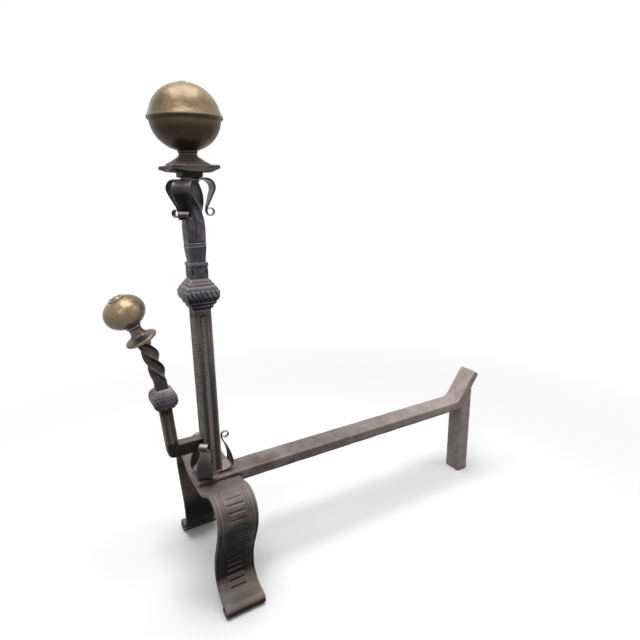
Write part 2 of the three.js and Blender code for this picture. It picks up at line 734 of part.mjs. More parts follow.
function pedestal() {
  const hole = TANG_RADIUS + HOLE_GAP;
  const rim = PEDESTAL_RADIUS;
  const collar = PEDESTAL_HEIGHT - PEDESTAL_COLLAR_HEIGHT;
  const neck = PEDESTAL_NECK_RADIUS;
  const profile = [
    [hole, 0],
    [rim - 0.8, 0],
    ...sweep([rim, 0.8], [rim - 1.6, PEDESTAL_RIM], [rim, PEDESTAL_RIM], 3),
    [rim - 1.8, PEDESTAL_RIM + 0.1],
    [PEDESTAL_CONE_RADIUS, PEDESTAL_CONE_HEIGHT],
    ...sweep([PEDESTAL_CONE_RADIUS - 0.6, PEDESTAL_CONE_HEIGHT + 0.9], [neck, collar],
      [neck, PEDESTAL_CONE_HEIGHT + 2.4], 3),
    [PEDESTAL_COLLAR_RADIUS, collar + 0.5],
    [PEDESTAL_COLLAR_RADIUS, PEDESTAL_HEIGHT - 0.5],
    [PEDESTAL_COLLAR_RADIUS - 0.7, PEDESTAL_HEIGHT],
    [hole, PEDESTAL_HEIGHT],
    [hole, 0],
  ];
  return turned(profile, BALL_SIDES).translate(0, 0, PEDESTAL_Z);
}

// Points on an upright ellipse about its own middle; from and to are angles above the middle.
function ellipseArc(radius, height, from, to, steps = BALL_STEPS) {
  return Array.from({ length: steps + 1 }, (_, i) => {
    const a = lerp(from, to, i / steps);
    return [radius * Math.cos(a), height * Math.sin(a)];
  });
}

function ballUpper() {
  const hole = TANG_TIP_RADIUS + HOLE_GAP;
  const seam = SEAT_GAP / 2;
  const inner = BALL_RADIUS - BALL_WALL;
  const innerTop = BALL_TOP_HEIGHT - BALL_WALL;
  const start = Math.asin(BALL_BAND_HEIGHT / BALL_TOP_HEIGHT);
  const outerArc = ellipseArc(BALL_RADIUS, BALL_TOP_HEIGHT, start, Math.acos(hole / BALL_RADIUS));
  const innerArc = ellipseArc(inner, innerTop, Math.acos(hole / inner), seam / innerTop,
    HOLLOW_STEPS);
  const profile = [
    [inner, seam],
    [BAND_RADIUS - 0.5, seam],
    [BAND_RADIUS, seam + 0.6],
    [BAND_RADIUS - 0.6, seam + 1.5],
    ...outerArc,
    ...innerArc,
  ];
  profile.push(profile[0]);
  return turned(profile, BALL_SIDES).translate(0, 0, BALL_Z);
}

function ballLower() {
  const hole = TANG_RADIUS + HOLE_GAP;
  const seam = SEAT_GAP / 2;
  const inner = BALL_RADIUS - BALL_WALL;
  const innerDepth = BALL_BOWL_DEPTH - BALL_WALL;
  const start = -Math.asin((0.8 * BALL_BAND_HEIGHT) / BALL_BOWL_DEPTH);
  const seat = -Math.acos(BALL_SEAT_RADIUS / BALL_RADIUS);
  const outerArc = ellipseArc(BALL_RADIUS, BALL_BOWL_DEPTH, start, seat);
  const innerArc = ellipseArc(inner, innerDepth, -Math.acos((hole + 1) / inner),
    -seam / innerDepth, HOLLOW_STEPS);
  const floor = -BALL_SEAT_DROP;
  const profile = [
    [inner, -seam],
    [BAND_RADIUS - 0.5, -seam],
    [BAND_RADIUS, -seam - 0.5],
    [BAND_RADIUS - 0.8, -seam - 1.3],
    ...outerArc,
    [hole, floor],
    [hole, innerArc[0][1]],
    ...innerArc,
  ];
  profile.push(profile[0]);
  return turned(profile, BALL_SIDES).translate(0, 0, BALL_Z);
}

// ---- Guard ---------------------------------------------------------------------------------

const guardFoot = new THREE.Vector2(-GUARD_REACH, ARM_Z); // y and z of the corner's axis
const leanUp = (lean) => new THREE.Vector2(-Math.sin(rad(lean)), Math.cos(rad(lean)));
const curveRadius = GUARD_CURVE / rad(GUARD_TOP_LEAN - GUARD_LEAN);

// Point and lean of the guard's axis at a run along it from the corner.
function guardAxis(run) {
  const straight = Math.min(run, GUARD_STRAIGHT);
  const curved = THREE.MathUtils.clamp(run - GUARD_STRAIGHT, 0, GUARD_CURVE);
  const lean = GUARD_LEAN + THREE.MathUtils.radToDeg(curved / curveRadius);
  const point = guardFoot.clone().addScaledVector(leanUp(GUARD_LEAN), straight);
  point.x -= curveRadius * (Math.cos(rad(GUARD_LEAN)) - Math.cos(rad(lean)));
  point.y += curveRadius * (Math.sin(rad(lean)) - Math.sin(rad(GUARD_LEAN)));
  point.addScaledVector(leanUp(lean), Math.max(0, run - GUARD_STRAIGHT - GUARD_CURVE));
  return { point, lean };
}

// Sets a geometry built up the Z axis on the guard's axis, its z = 0 at the given run.
function onGuard(geometry, run) {
  const { point, lean } = guardAxis(run);
  return geometry.rotateX(rad(lean)).translate(0, point.x, point.y);
}

const GUARD_SEAT_RUN = GUARD_STRAIGHT + GUARD_CURVE;
const KNOB_SEAT_RUN = GUARD_SEAT_RUN + SEAT_GAP + SAUCER_HEIGHT + SEAT_GAP;
const KNOB_SEAT_DROP = KNOB_HALF_HEIGHT * Math.sqrt(1 - (KNOB_SEAT_RADIUS / KNOB_RADIUS) ** 2);
const KNOB_RUN = KNOB_SEAT_RUN + KNOB_SEAT_DROP;
const KNOB_FLAT = KNOB_HALF_HEIGHT * Math.sqrt(1 - (KNOB_WASHER_RADIUS / KNOB_RADIUS) ** 2);
const WASHER_RUN = KNOB_RUN + KNOB_FLAT + SEAT_GAP;
const GUARD_PEEN_RUN = WASHER_RUN + KNOB_WASHER_THICKNESS + SEAT_GAP;

function guardRing(run) {
  const start = GUARD_COLLAR_FOOT + GUARD_COLLAR_HEIGHT + GUARD_TWIST_PLAIN;
  const u = THREE.MathUtils.clamp((run - start) / (GUARD_SEAT_RUN - start), 0, 1);
  const belly = Math.sin(Math.PI * u);
  const ring = squareRing({
    side: GUARD_SIDE + 1.2 * belly,
    chamfer: BAR_CHAMFER,
    hollow: GUARD_TWIST_HOLLOW * smoothstep(u, 0, 0.2),
    turn: GUARD_TWIST_TURN * u,
  });
  const { point, lean } = guardAxis(run);
  const forward = new THREE.Vector3(0, Math.cos(rad(lean)), Math.sin(rad(lean)));
  return ring.map((p) =>
    new THREE.Vector3(p.x, point.x, point.y).addScaledVector(forward, p.y),
  );
}

function guardBar() {
  const start = GUARD_COLLAR_FOOT + GUARD_COLLAR_HEIGHT + GUARD_TWIST_PLAIN;
  const rings = Math.ceil(Math.abs(GUARD_TWIST_TURN) / TWIST_STEP);
  const runs = Array.from({ length: rings + 1 }, (_, i) => lerp(start, GUARD_SEAT_RUN, i / rings));
  const upright = loft([0, GUARD_STRAIGHT, ...runs].map(guardRing));
  const face = -SHAFT_SIDE / 2 - SEAT_GAP;
  const outer = -GUARD_REACH - GUARD_SIDE / 2;
  const [top, bottom] = [ARM_Z + ARM_HEIGHT / 2, ARM_Z - ARM_HEIGHT / 2];
  const shape = new THREE.Shape();
  shape.moveTo(face, top);
  shape.lineTo(outer + GUARD_SIDE / 4, top);
  shape.lineTo(outer, ARM_Z);
  shape.quadraticCurveTo(outer, bottom, outer + 2 * GUARD_CORNER_RADIUS, bottom);
  shape.lineTo(face, bottom);
  const arm = acrossX(shape, GUARD_SIDE, BAR_CHAMFER);
  const backFace = SHAFT_SIDE / 2 + SEAT_GAP;
  const tenon = rod(GUARD_TENON_RADIUS, face - 2, backFace + 0.5);
  const back = peen(GUARD_PEEN_RADIUS, GUARD_PEEN_HEIGHT, backFace, 1);
  const through = [tenon, back].map((g) => g.rotateX(-Math.PI / 2).translate(0, 0, ARM_Z));
  const tang = onGuard(rod(GUARD_TANG_RADIUS, -1, GUARD_PEEN_RUN - GUARD_SEAT_RUN + 0.5),
    GUARD_SEAT_RUN);
  const head = onGuard(peen(KNOB_PEEN_RADIUS, KNOB_PEEN_HEIGHT, 0, 1), GUARD_PEEN_RUN);
  return join(upright, arm, ...through, tang, head);
}

function guardCollar() {
  const collar = mouldedCollar({
    height: GUARD_COLLAR_HEIGHT,
    side: GUARD_COLLAR_SIDE,
    topSide: GUARD_SIDE + 3.4,
    footSide: GUARD_SIDE + 4,
    holeSide: GUARD_SIDE,
  });
  return onGuard(collar, GUARD_COLLAR_FOOT);
}

function saucer() {
  const hole = GUARD_TANG_RADIUS + HOLE_GAP;
  const rim = SAUCER_RADIUS;
  const step = [SAUCER_STEP_RADIUS, SAUCER_STEP_HEIGHT];
  const collar = SAUCER_HEIGHT - SAUCER_COLLAR_HEIGHT;
  const neck = SAUCER_NECK_RADIUS;
  const profile = [
    [hole, 0],
    [rim - 3.5, 0],
    ...sweep([rim - 1, 0.6], [rim - 1.5, SAUCER_RIM], [rim + 0.8, SAUCER_RIM / 2], 4),
    [rim - 2.4, SAUCER_RIM - 0.4],
    ...sweep([rim - 3, SAUCER_RIM], step, [rim - 3.6, SAUCER_STEP_HEIGHT - 0.4], 3),
    [step[0] - 0.6, step[1] - 0.5],
    ...sweep([step[0] - 1.2, step[1]], [neck, 0.62 * collar + 3], [neck, step[1] + 1.5], 5),
    [neck + 0.3, collar - 1],
    [SAUCER_COLLAR_RADIUS, collar],
    [SAUCER_COLLAR_RADIUS, SAUCER_HEIGHT - 0.6],
    [SAUCER_COLLAR_RADIUS - 0.6, SAUCER_HEIGHT],
    [hole, SAUCER_HEIGHT],
    [hole, 0],
  ];
  return onGuard(turned(profile, BALL_SIDES), GUARD_SEAT_RUN + SEAT_GAP);
}

// Angle on the knob's outline, or on its inside, at a height above its middle.
const knobAngle = (height, half) => Math.asin(height / half);

function knobUpper() {
  const hole = GUARD_TANG_RADIUS + HOLE_GAP;
  const [radius, half] = [KNOB_RADIUS, KNOB_HALF_HEIGHT];
  const [inRadius, inHalf] = [radius - KNOB_WALL, half - KNOB_WALL];
  const seam = KNOB_SEAM + SEAT_GAP / 2;
  const outerArc = ellipseArc(radius, half, knobAngle(seam + KNOB_GROOVE, half),
    knobAngle(KNOB_FLAT, half));
  const innerArc = ellipseArc(inRadius, inHalf, Math.acos((hole + 1) / inRadius),
    knobAngle(seam, inHalf), HOLLOW_STEPS);
  const profile = [
    [outerArc[0][0] - KNOB_GROOVE, seam],
    ...outerArc,
    [hole, KNOB_FLAT],
    [hole, innerArc[0][1]],
    ...innerArc,
  ];
  profile.push(profile[0]);
  return onGuard(turned(profile, BALL_SIDES), KNOB_RUN);
}

function knobLower() {
  const hole = GUARD_TANG_RADIUS + HOLE_GAP;
  const [radius, half] = [KNOB_RADIUS, KNOB_HALF_HEIGHT];
  const [inRadius, inHalf] = [radius - KNOB_WALL, half - KNOB_WALL];
  const seam = KNOB_SEAM - SEAT_GAP / 2;
  const outerArc = ellipseArc(radius, half, knobAngle(seam - KNOB_GROOVE, half),
    knobAngle(-KNOB_SEAT_DROP, half), BALL_STEPS / 2);
  const innerArc = ellipseArc(inRadius, inHalf, -Math.acos((hole + 1) / inRadius),
    knobAngle(seam, inHalf), HOLLOW_STEPS);
  const profile = [
    [outerArc[0][0] - KNOB_GROOVE, seam],
    ...outerArc,
    [hole, -KNOB_SEAT_DROP],
    [hole, innerArc[0][1]],
    ...innerArc,
  ];
  profile.push(profile[0]);
  return onGuard(turned(profile, BALL_SIDES), KNOB_RUN);
}

function knobWasher() {
  const hole = GUARD_TANG_RADIUS + HOLE_GAP;
  const [r, t] = [KNOB_WASHER_RADIUS, KNOB_WASHER_THICKNESS];
  const profile = [[hole, 0], [r, 0], [r - 0.6, t], [hole, t], [hole, 0]];
  return onGuard(turned(profile, ROUND_SIDES), WASHER_RUN);
}

// ---- The andiron --------------------------------------------------------------------------------

const darkIron = { color: 0x35302f, roughness: 0.62, metalness: 0.85 };
const barIron = { color: 0x6b5c56, roughness: 0.66, metalness: 0.75 };
const strapIron = { color: 0x423c39, roughness: 0.55, metalness: 0.85 };
const antiqueBrass = { color: 0x8a6f3c, roughness: 0.36, metalness: 0.95 };

const andiron = new THREE.Group();
andiron.name = "andiron";

function add(name, geometry, finish, parent = andiron) {
  const mesh = new THREE.Mesh(geometry, new THREE.MeshStandardMaterial(finish));
  mesh.name = name;
  parent.add(mesh);
  return mesh;
}

// Three straps with their eyes stacked round the post from a height z up.
function addStraps(name, geometry, z) {
  Object.entries(STRAP_ANGLES).forEach(([place, angle], i) => {
    const mesh = add(`${name}_${place}`, geometry.clone(), strapIron);
    mesh.position.z = z + i * STRAP_PITCH;
    mesh.rotation.z = rad(angle);
  });
}

add("base_arch", baseArch(), barIron);
add("billet_bar", billetBar(), barIron);
add("rear_leg", rearLeg(), barIron);
addStraps("lower_scroll", scrolledStrap(LOWER_STRAP, FOOT_TENON_RADIUS), LOWER_STRAP_Z);
add("post", post(), darkIron);
add("foot_washer", footWasher(), barIron);
add("post_capital", capital(), darkIron);
addStraps("upper_scroll", scrolledStrap(UPPER_STRAP, TANG_RADIUS).rotateX(Math.PI), UPPER_STRAP_Z);
add("cap_block", capBlock(), darkIron);
add("cap_plate", capPlate(), darkIron);
add("ball_pedestal", pedestal(), antiqueBrass);
add("ball_lower_half", ballLower(), antiqueBrass);
add("ball_upper_half", ballUpper(), antiqueBrass);
add("guard_bar", guardBar(), darkIron);
add("guard_collar", guardCollar(), darkIron);
add("guard_saucer", saucer(), antiqueBrass);
add("guard_knob_lower_half", knobLower(), antiqueBrass);
add("guard_knob_upper_half", knobUpper(), antiqueBrass);
add("guard_knob_washer", knobWasher(), antiqueBrass);

// The origin is the middle of the bounding box, on the hearth.
const bounds = new THREE.Box3().setFromObject(andiron);
andiron.position.set(
  -(bounds.min.x + bounds.max.x) / 2,
  -(bounds.min.y + bounds.max.y) / 2,
  -bounds.min.z,
);

export default andiron;
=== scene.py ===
import math

import bmesh
import bpy
import numpy as np
from mathutils import Matrix, Vector


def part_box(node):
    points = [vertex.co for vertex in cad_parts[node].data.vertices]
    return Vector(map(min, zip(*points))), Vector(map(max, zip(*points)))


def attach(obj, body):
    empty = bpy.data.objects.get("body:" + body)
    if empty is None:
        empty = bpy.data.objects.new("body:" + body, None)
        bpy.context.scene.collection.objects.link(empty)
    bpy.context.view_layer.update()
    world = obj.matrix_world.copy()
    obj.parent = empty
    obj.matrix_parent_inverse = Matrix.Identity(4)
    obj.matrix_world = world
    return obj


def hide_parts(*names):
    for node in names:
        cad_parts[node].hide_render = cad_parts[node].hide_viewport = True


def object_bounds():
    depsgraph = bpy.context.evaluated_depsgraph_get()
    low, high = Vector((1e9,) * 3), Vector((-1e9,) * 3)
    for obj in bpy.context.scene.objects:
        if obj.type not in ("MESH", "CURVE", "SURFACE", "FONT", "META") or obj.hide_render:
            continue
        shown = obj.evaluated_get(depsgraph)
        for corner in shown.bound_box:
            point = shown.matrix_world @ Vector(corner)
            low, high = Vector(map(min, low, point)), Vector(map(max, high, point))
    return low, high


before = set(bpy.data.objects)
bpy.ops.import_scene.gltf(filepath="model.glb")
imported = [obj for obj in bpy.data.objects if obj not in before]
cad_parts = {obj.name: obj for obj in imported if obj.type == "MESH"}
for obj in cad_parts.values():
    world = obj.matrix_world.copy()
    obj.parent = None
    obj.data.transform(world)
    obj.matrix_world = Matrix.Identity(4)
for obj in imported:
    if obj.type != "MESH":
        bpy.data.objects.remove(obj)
cad_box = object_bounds()

# ---- Hearth, daylight and the eye ------------------------------------------------------
# The andiron stands on a pale floor under a broad soft light from above. It is seen from its
# right and a little in front, from the height of the post's twisted head.
MM = 0.001
EYE = Vector((665.7, -194.7, 588.8)) * MM  # from the foot of the post
EYE_TURN = math.radians(59.3)
EYE_DOWN = math.radians(14.69)
EYE_ROLL = math.radians(-0.73)
LENS, SENSOR = 26.99, 36
WHITE = (1, 1, 1, 1)
FLOOR_SIDE = 14.0
FLOOR_SHADE = 0.93
FLOOR_BOUNCE = 0.12  # what the floor throws back up onto the iron
FLOOR_NEAR, FLOOR_FAR = 0.45, 1.15  # from the middle of the floor, where its white takes over
SKY = 0.12
LAMP_AIM = Vector((0, 0, 0.35))  # from the foot of the post
LAMPS = (
    # name, place, side, watts
    ("overhead", Vector((0.0, -0.2, 2.2)), 1.5, 52),
    ("window", Vector((1.5, -1.7, 2.0)), 1.0, 10),
    ("back_window", Vector((1.5, 1.6, 1.9)), 1.0, 9),
    ("left_fill", Vector((-2.0, -1.2, 1.4)), 1.0, 3),
)

POST_LOW, POST_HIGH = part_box("post")
AXIS = Vector(((POST_LOW.x + POST_HIGH.x) / 2, (POST_LOW.y + POST_HIGH.y) / 2, 0))
AT_POST = Matrix.Translation(AXIS)


def node(tree, kind, inputs=None, **settings):
    """A new node with these settings, its inputs set to values or linked to outputs."""
    made = tree.nodes.new(kind)
    for setting, value in settings.items():
        setattr(made, setting, value)
    for socket, value in (inputs or {}).items():
        if isinstance(value, bpy.types.NodeSocket):
            tree.links.new(value, made.inputs[socket])
        else:
            made.inputs[socket].default_value = value
    return made


def new_object(name, data):
    """A new object in the scene."""
    obj = bpy.data.objects.new(name, data)
    bpy.context.scene.collection.objects.link(obj)
    return obj


def white_to_the_eye(tree, shader, own=None):
    """The shader, but plain white, or own, where the eye or a reflection meets it."""
    path = node(tree, "ShaderNodeLightPath")
    seen = path.outputs["Is Camera Ray"]
    for ray in ("Is Glossy Ray", "Is Transmission Ray"):
        either = node(tree, "ShaderNodeMath", {0: seen, 1: path.outputs[ray]}, operation="MAXIMUM")
        seen = either.outputs[0]
    if own is None:
        own = node(tree, "ShaderNodeEmission", {"Color": WHITE}).outputs[0]
    return node(tree, "ShaderNodeMixShader", {"Fac": seen, 1: shader, 2: own}).outputs[0]


def floor_material():
    """Pale and shaded under the andiron, and fading outwards to plain white for the eye."""
    m = bpy.data.materials.new("pale_floor")
    m.use_nodes = True
    tree = m.node_tree
    tree.nodes.clear()
    bounced, shaded = (
        node(tree, "ShaderNodeBsdfDiffuse", {"Color": (shade, shade, shade, 1)}).outputs[0]
        for shade in (FLOOR_BOUNCE, FLOOR_SHADE))
    white = node(tree, "ShaderNodeEmission", {"Color": WHITE}).outputs[0]
    place = node(tree, "ShaderNodeTexCoord").outputs["Object"]
    away = node(tree, "ShaderNodeVectorMath", {0: place}, operation="LENGTH").outputs["Value"]
    fade = node(
        tree, "ShaderNodeMapRange", {"Value": away, "From Min": FLOOR_NEAR, "From Max": FLOOR_FAR},
        interpolation_type="SMOOTHSTEP").outputs["Result"]
    seen = node(tree, "ShaderNodeMixShader", {"Fac": fade, 1: shaded, 2: white}).outputs[0]
    node(tree, "ShaderNodeOutputMaterial", {"Surface": white_to_the_eye(tree, bounced, seen)})
    return m


bpy.ops.mesh.primitive_plane_add(size=FLOOR_SIDE)
floor = bpy.context.object
floor.name = "pale_floor"
floor.data.materials.append(floor_material())

world = bpy.data.worlds.new("daylight")
world.use_nodes = True
bpy.context.scene.world = world
background = world.node_tree.nodes["Background"]
background.inputs["Color"].default_value = WHITE
background.inputs["Strength"].default_value = SKY
sky = white_to_the_eye(world.node_tree, background.outputs[0])
world.node_tree.links.new(sky, world.node_tree.nodes["World Output"].inputs["Surface"])

for name, place, side, watts in LAMPS:
    light = bpy.data.lights.new(name, "AREA")
    light.energy = watts
    light.size = side
    lamp = new_object(name, light)
    lamp.location = place
    lamp.rotation_euler = (AXIS + LAMP_AIM - place).to_track_quat("-Z", "Y").to_euler()

camera = new_object("eye", bpy.data.cameras.new("eye"))
camera.data.lens = LENS
camera.data.sensor_width = SENSOR
camera.location = AXIS + EYE
camera.rotation_euler = (
    Matrix.Rotation(EYE_TURN, 3, "Z")
    @ Matrix.Rotation(math.pi / 2 - EYE_DOWN, 3, "X")
    @ Matrix.Rotation(EYE_ROLL, 3, "Z")
).to_euler()
bpy.context.scene.camera = camera
bpy.context.scene.view_settings.view_transform = "Standard"

# ---- Base arch -------------------------------------------------------------------------
# One wide wrought strap, bent to a cupid's bow with its toes rolled under. Two ridges are left
# standing along each edge between graved lines, and rungs are cut across between them.
ARCH_THICKNESS = 7 * MM
ARCH_FRONT = 30.5 * MM
LEG_BACK = 30 * MM
CROWN_BACK = 39 * MM
TOE_THICKNESS = 4.5 * MM
TOE_TAPER_RUN = 90 * MM
CROWN_RUN = 60 * MM
SEAT_HALF = 22 * MM
ARCH_BENDS = (
    # length, turn in degrees
    (SEAT_HALF, 0),
    (22 * MM, 28),
    (24 * MM, 0),
    (math.radians(128) * 29 * MM, -128),
    (30 * MM, -14),
    (29 * MM, 0),
    (40 * MM, 24),
    (math.radians(85) * 31.7 * MM, 85),
    (6 * MM, 0),
    (math.radians(175) * 6.75 * MM, -175),
    (5 * MM, 0),
    (math.radians(85) * 5.5 * MM, -85),
)
ARCH_STEP = 0.9 * MM
ARCH_EDGE = 1.6 * MM
ARCH_LINES = (4.0 * MM, 9.6 * MM, 13.4 * MM)  # graved lines, from each edge inwards
LINE_WIDTH = 2.8 * MM
LINE_DEPTH = 0.6 * MM
RUNG_PITCH = 9.6 * MM
RUNG_FIRST = 66 * MM  # along the strap from the middle of the crown
RUNG_LAST = 262 * MM
RUNG_WIDTH = 3.6 * MM
RUNG_DEPTH = 1.2 * MM
RUNG_FADE = 40 * MM  # from the first rung on, over which the rungs get deeper
RUNG_SAG = 1.6 * MM
SAG_START, SAG_FULL = 120 * MM, 220 * MM
LINES_START, LINES_FULL = 24 * MM, 34 * MM  # runs between which the lines get deeper
BORDER = 17.2 * MM  # what the rungs leave plain along each edge
BORDER_SLOPE = 1.4 * MM
FORGED_WAVE = 0.25 * MM  # how far a hammered face wanders
CLEAN_CUT, DIRTY_CUT = 0.35 * MM, 1.0 * MM  # a cut is clean to the first and dirty from their sum
SHARP = 38  # degrees, above which an edge isn't shaded smooth
BOX_MARGIN = 0.005 * MM


def smooth_step(x, low, high):
    """From 0 at low to 1 at high, flat at both ends."""
    t = np.clip((x - low) / (high - low), 0, 1)
    return t * t * (3 - 2 * t)


def wander(a, b, c, size):
    """A slow uneven wave of up to size, as hammer work leaves, at places a, b, c in metres."""
    waves = np.sin(61 * a + 3.1) + np.sin(83 * b + 1.3 * np.sin(47 * a)) + np.sin(139 * c + 29 * a)
    return size * waves / 3


def bent_line(bends, step):
    """Points (x, z), headings and runs along a line of bends that starts at the origin along +X."""
    x = z = heading = run = 0.0
    line = [(x, z, heading, run)]
    for length, turn in bends:
        count = max(2, math.ceil(length / step))
        for _ in range(count):
            part, turned_by = length / count, math.radians(turn) / count
            x += part * math.cos(heading + turned_by / 2)
            z += part * math.sin(heading + turned_by / 2)
            heading += turned_by
            run += part
            line.append((x, z, heading, run))
    return np.array(line)


def skin(rows, grime_and_shade=None, place=AT_POST, sharp=SHARP):
    """A closed piece over rows of rings of points, an array of (rings, points, 3).

    grime_and_shade, from 0 to 1 at each point, tells the metal where the graved lines hold
    soiling and where a painted shadow falls."""
    rings, sides, _ = rows.shape
    grime_and_shade = np.zeros((rings, sides)) if grime_and_shade is None else np.clip(grime_and_shade, 0, 1)
    r, k = np.meshgrid(np.arange(rings - 1), np.arange(sides), indexing="ij")
    a, b = r * sides + k, r * sides + (k + 1) % sides
    faces = np.stack([a, b, b + sides, a + sides], axis=2).reshape(-1, 4).tolist()
    verts = np.concatenate([rows.reshape(-1, 3), [rows[0].mean(axis=0), rows[-1].mean(axis=0)]])
    last = (rings - 1) * sides
    for i in range(sides):
        j = (i + 1) % sides
        faces.append((j, i, rings * sides))
        faces.append((last + i, last + j, rings * sides + 1))
    mesh = bpy.data.meshes.new("skin")
    mesh.from_pydata(verts.tolist(), [], faces)
    layer = mesh.attributes.new("grime_and_shade", "FLOAT", "POINT")
    layer.data.foreach_set("value", np.append(grime_and_shade.ravel(), [0, 0]).astype(np.float32))
    mesh.transform(place)
    return finish_mesh(mesh, sharp)


def finish_mesh(mesh, sharp=SHARP):
    """Faces out, doubles merged, smooth shading except over edges sharper than this."""
    bm = bmesh.new()
    bm.from_mesh(mesh)
    bmesh.ops.remove_doubles(bm, verts=bm.verts, dist=1e-6)
    bmesh.ops.dissolve_degenerate(bm, edges=bm.edges, dist=1e-7)
    bmesh.ops.recalc_face_normals(bm, faces=bm.faces)
    limit = math.radians(sharp)
    for face in bm.faces:
        face.smooth = True
    for edge in bm.edges:
        edge.smooth = len(edge.link_faces) == 2 and edge.calc_face_angle(0) < limit
    bm.to_mesh(mesh)
    bm.free()
    return mesh


def piece(name, mesh, material, slot, *nodes):
    """Shows a mesh as a piece of the andiron in place of these CAD nodes, kept inside the whole CAD
    model's box.
    """
    points = np.empty(3 * len(mesh.vertices))
    mesh.vertices.foreach_get("co", points)
    low, high = (np.array(corner) for corner in cad_box)
    points = np.clip(points.reshape(-1, 3), low + BOX_MARGIN, high - BOX_MARGIN)
    mesh.vertices.foreach_set("co", points.ravel())
    mesh.name = name
    mesh.materials.clear()
    mesh.materials.append(material)
    obj = new_object(name, mesh)
    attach(obj, "root")
    if nodes:
        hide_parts(*nodes)


def graved_line(distance, width, depth):
    """Depth of a V cut at a distance from its middle."""
    return depth * np.clip(1 - 2 * np.abs(distance) / width, 0, 1)


SHADE_AND_SOOT_TINT = (0.06, 0.066, 0.080)  # what painted shade and fire-blackening leave of a colour
NO_UPRIGHTS = (0.0, -1.0)  # heights below the floor, so that only undersides get painted shade
MIX_A, MIX_B, MIXED = 6, 7, 2  # the colour sockets of a mix node


def metal(name, dark, light, bloom, bloom_share, edge, roughness, metallic, pit,
          toned=None, shade_and_soot=None, dust_and_top_light=None, patches=()):
    """Worked metal: two tones in clouds, blooms of rust or tarnish, bright worn edges, soiling and
    painted shade in the hollows, soiling in the graved lines and a painted shadow where a piece
    carries one, and fine pits. toned is another tone (axis, from, to, tone) that takes over
    slowly, shade_and_soot the heights between which upright faces darken with painted shade and
    fire-blackening, beside the undersides, which get painted shade, dust_and_top_light the
    colour of faces that look up, a dusting and a painted top light, and a patch is a spot
    (centre, radius, colour)."""
    m = bpy.data.materials.new(name)
    m.use_nodes = True
    tree = m.node_tree
    place = node(tree, "ShaderNodeTexCoord").outputs["Object"]

    def clouds(scale, detail, rough=0.6, distortion=0.0):
        return node(tree, "ShaderNodeTexNoise", {
            "Vector": place, "Scale": scale, "Detail": detail, "Roughness": rough,
            "Distortion": distortion}).outputs["Fac"]

    def ramp(fac, low, high, to=(0, 1)):
        return node(tree, "ShaderNodeMapRange", {
            "Value": fac, "From Min": low, "From Max": high, "To Min": to[0], "To Max": to[1],
        }, interpolation_type="SMOOTHSTEP").outputs["Result"]

    def blend(fac, a, b, way="MIX"):
        a, b = ((*colour, 1) if isinstance(colour, tuple) else colour for colour in (a, b))
        return node(tree, "ShaderNodeMix", {"Factor": fac, MIX_A: a, MIX_B: b},
                    data_type="RGBA", blend_type=way).outputs[MIXED]

    def calculate(operation, a, b):
        return node(tree, "ShaderNodeMath", {0: a, 1: b}, operation=operation).outputs[0]

    def split(vector, axis="Z"):
        return node(tree, "ShaderNodeSeparateXYZ", {0: vector}).outputs[axis]

    dirt_and_shade = tuple(0.22 * c for c in dark)
    tone = blend(ramp(clouds(24, 7, 0.65), 0.30, 0.70), dark, light)
    tone = blend(ramp(clouds(34, 8, 0.7, 0.6), 0.62 - bloom_share, 0.80 - bloom_share), tone, bloom)
    if toned:
        axis, start, full, colour = toned
        shaded = tuple(0.72 * c for c in colour)
        mottled = blend(ramp(clouds(46, 6, 0.7), 0.35, 0.65), colour, shaded)
        tone = blend(ramp(split(place, axis), start, full), tone, mottled)
    for centre, radius, colour in patches:
        far = node(tree, "ShaderNodeVectorMath", {0: place, 1: centre}, operation="DISTANCE")
        tone = blend(ramp(far.outputs["Value"], radius, 0.35 * radius, (0, 0.8)), tone, colour)
    relief = node(tree, "ShaderNodeNewGeometry").outputs
    # Painted shade: undersides darken, and so do upright faces below the given heights, there
    # partly as fire-blackening.
    if shade_and_soot:
        facing = split(relief["Normal"])
        upright = calculate("MULTIPLY", ramp(facing, 0.72, 0.12), ramp(split(place), *shade_and_soot))
        shade_and_soot_mask = calculate("MAXIMUM", upright, ramp(facing, 0.05, -0.4))
        tone = blend(shade_and_soot_mask, tone, blend(shade_and_soot_mask, tone, SHADE_AND_SOOT_TINT, "MULTIPLY"))
        # Faces that look up get lighter: a dusting and a painted top light.
        if dust_and_top_light:
            tone = blend(ramp(facing, 0.25, 0.85, (0, 0.65)), tone, dust_and_top_light)
    cut_and_shadow_mask = node(tree, "ShaderNodeAttribute", attribute_name="grime_and_shade").outputs["Fac"]
    tone = blend(ramp(clouds(310, 3, 0.7), 0.60, 0.72, (0, 0.55)), tone, dirt_and_shade)
    # Worn edges lighter; hollows darker, with soiling and painted shade.
    tone = blend(ramp(relief["Pointiness"], 0.512, 0.58), tone, edge)
    tone = blend(ramp(relief["Pointiness"], 0.492, 0.43), tone, dirt_and_shade)
    # The attribute darkens the graved lines with soiling, and carries the painted shadow under the
    # ball's flared band.
    tone = blend(ramp(cut_and_shadow_mask, 0.05, 1.0, (0, 0.85)), tone, dirt_and_shade)
    hammered = node(tree, "ShaderNodeBump", {
        "Strength": 0.5, "Distance": 1.2 * MM, "Height": clouds(75, 2)}).outputs["Normal"]
    pitted = node(tree, "ShaderNodeBump", {
        "Strength": pit, "Distance": 0.35 * MM, "Height": clouds(620, 4),
        "Normal": hammered}).outputs["Normal"]
    surface = tree.nodes["Principled BSDF"]
    surface.inputs["Metallic"].default_value = metallic
    surface.inputs["Specular IOR Level"].default_value = 0.15
    tree.links.new(tone, surface.inputs["Base Color"])
    tree.links.new(ramp(clouds(70, 5), 0.3, 0.7, roughness), surface.inputs["Roughness"])
    tree.links.new(pitted, surface.inputs["Normal"])
    return m


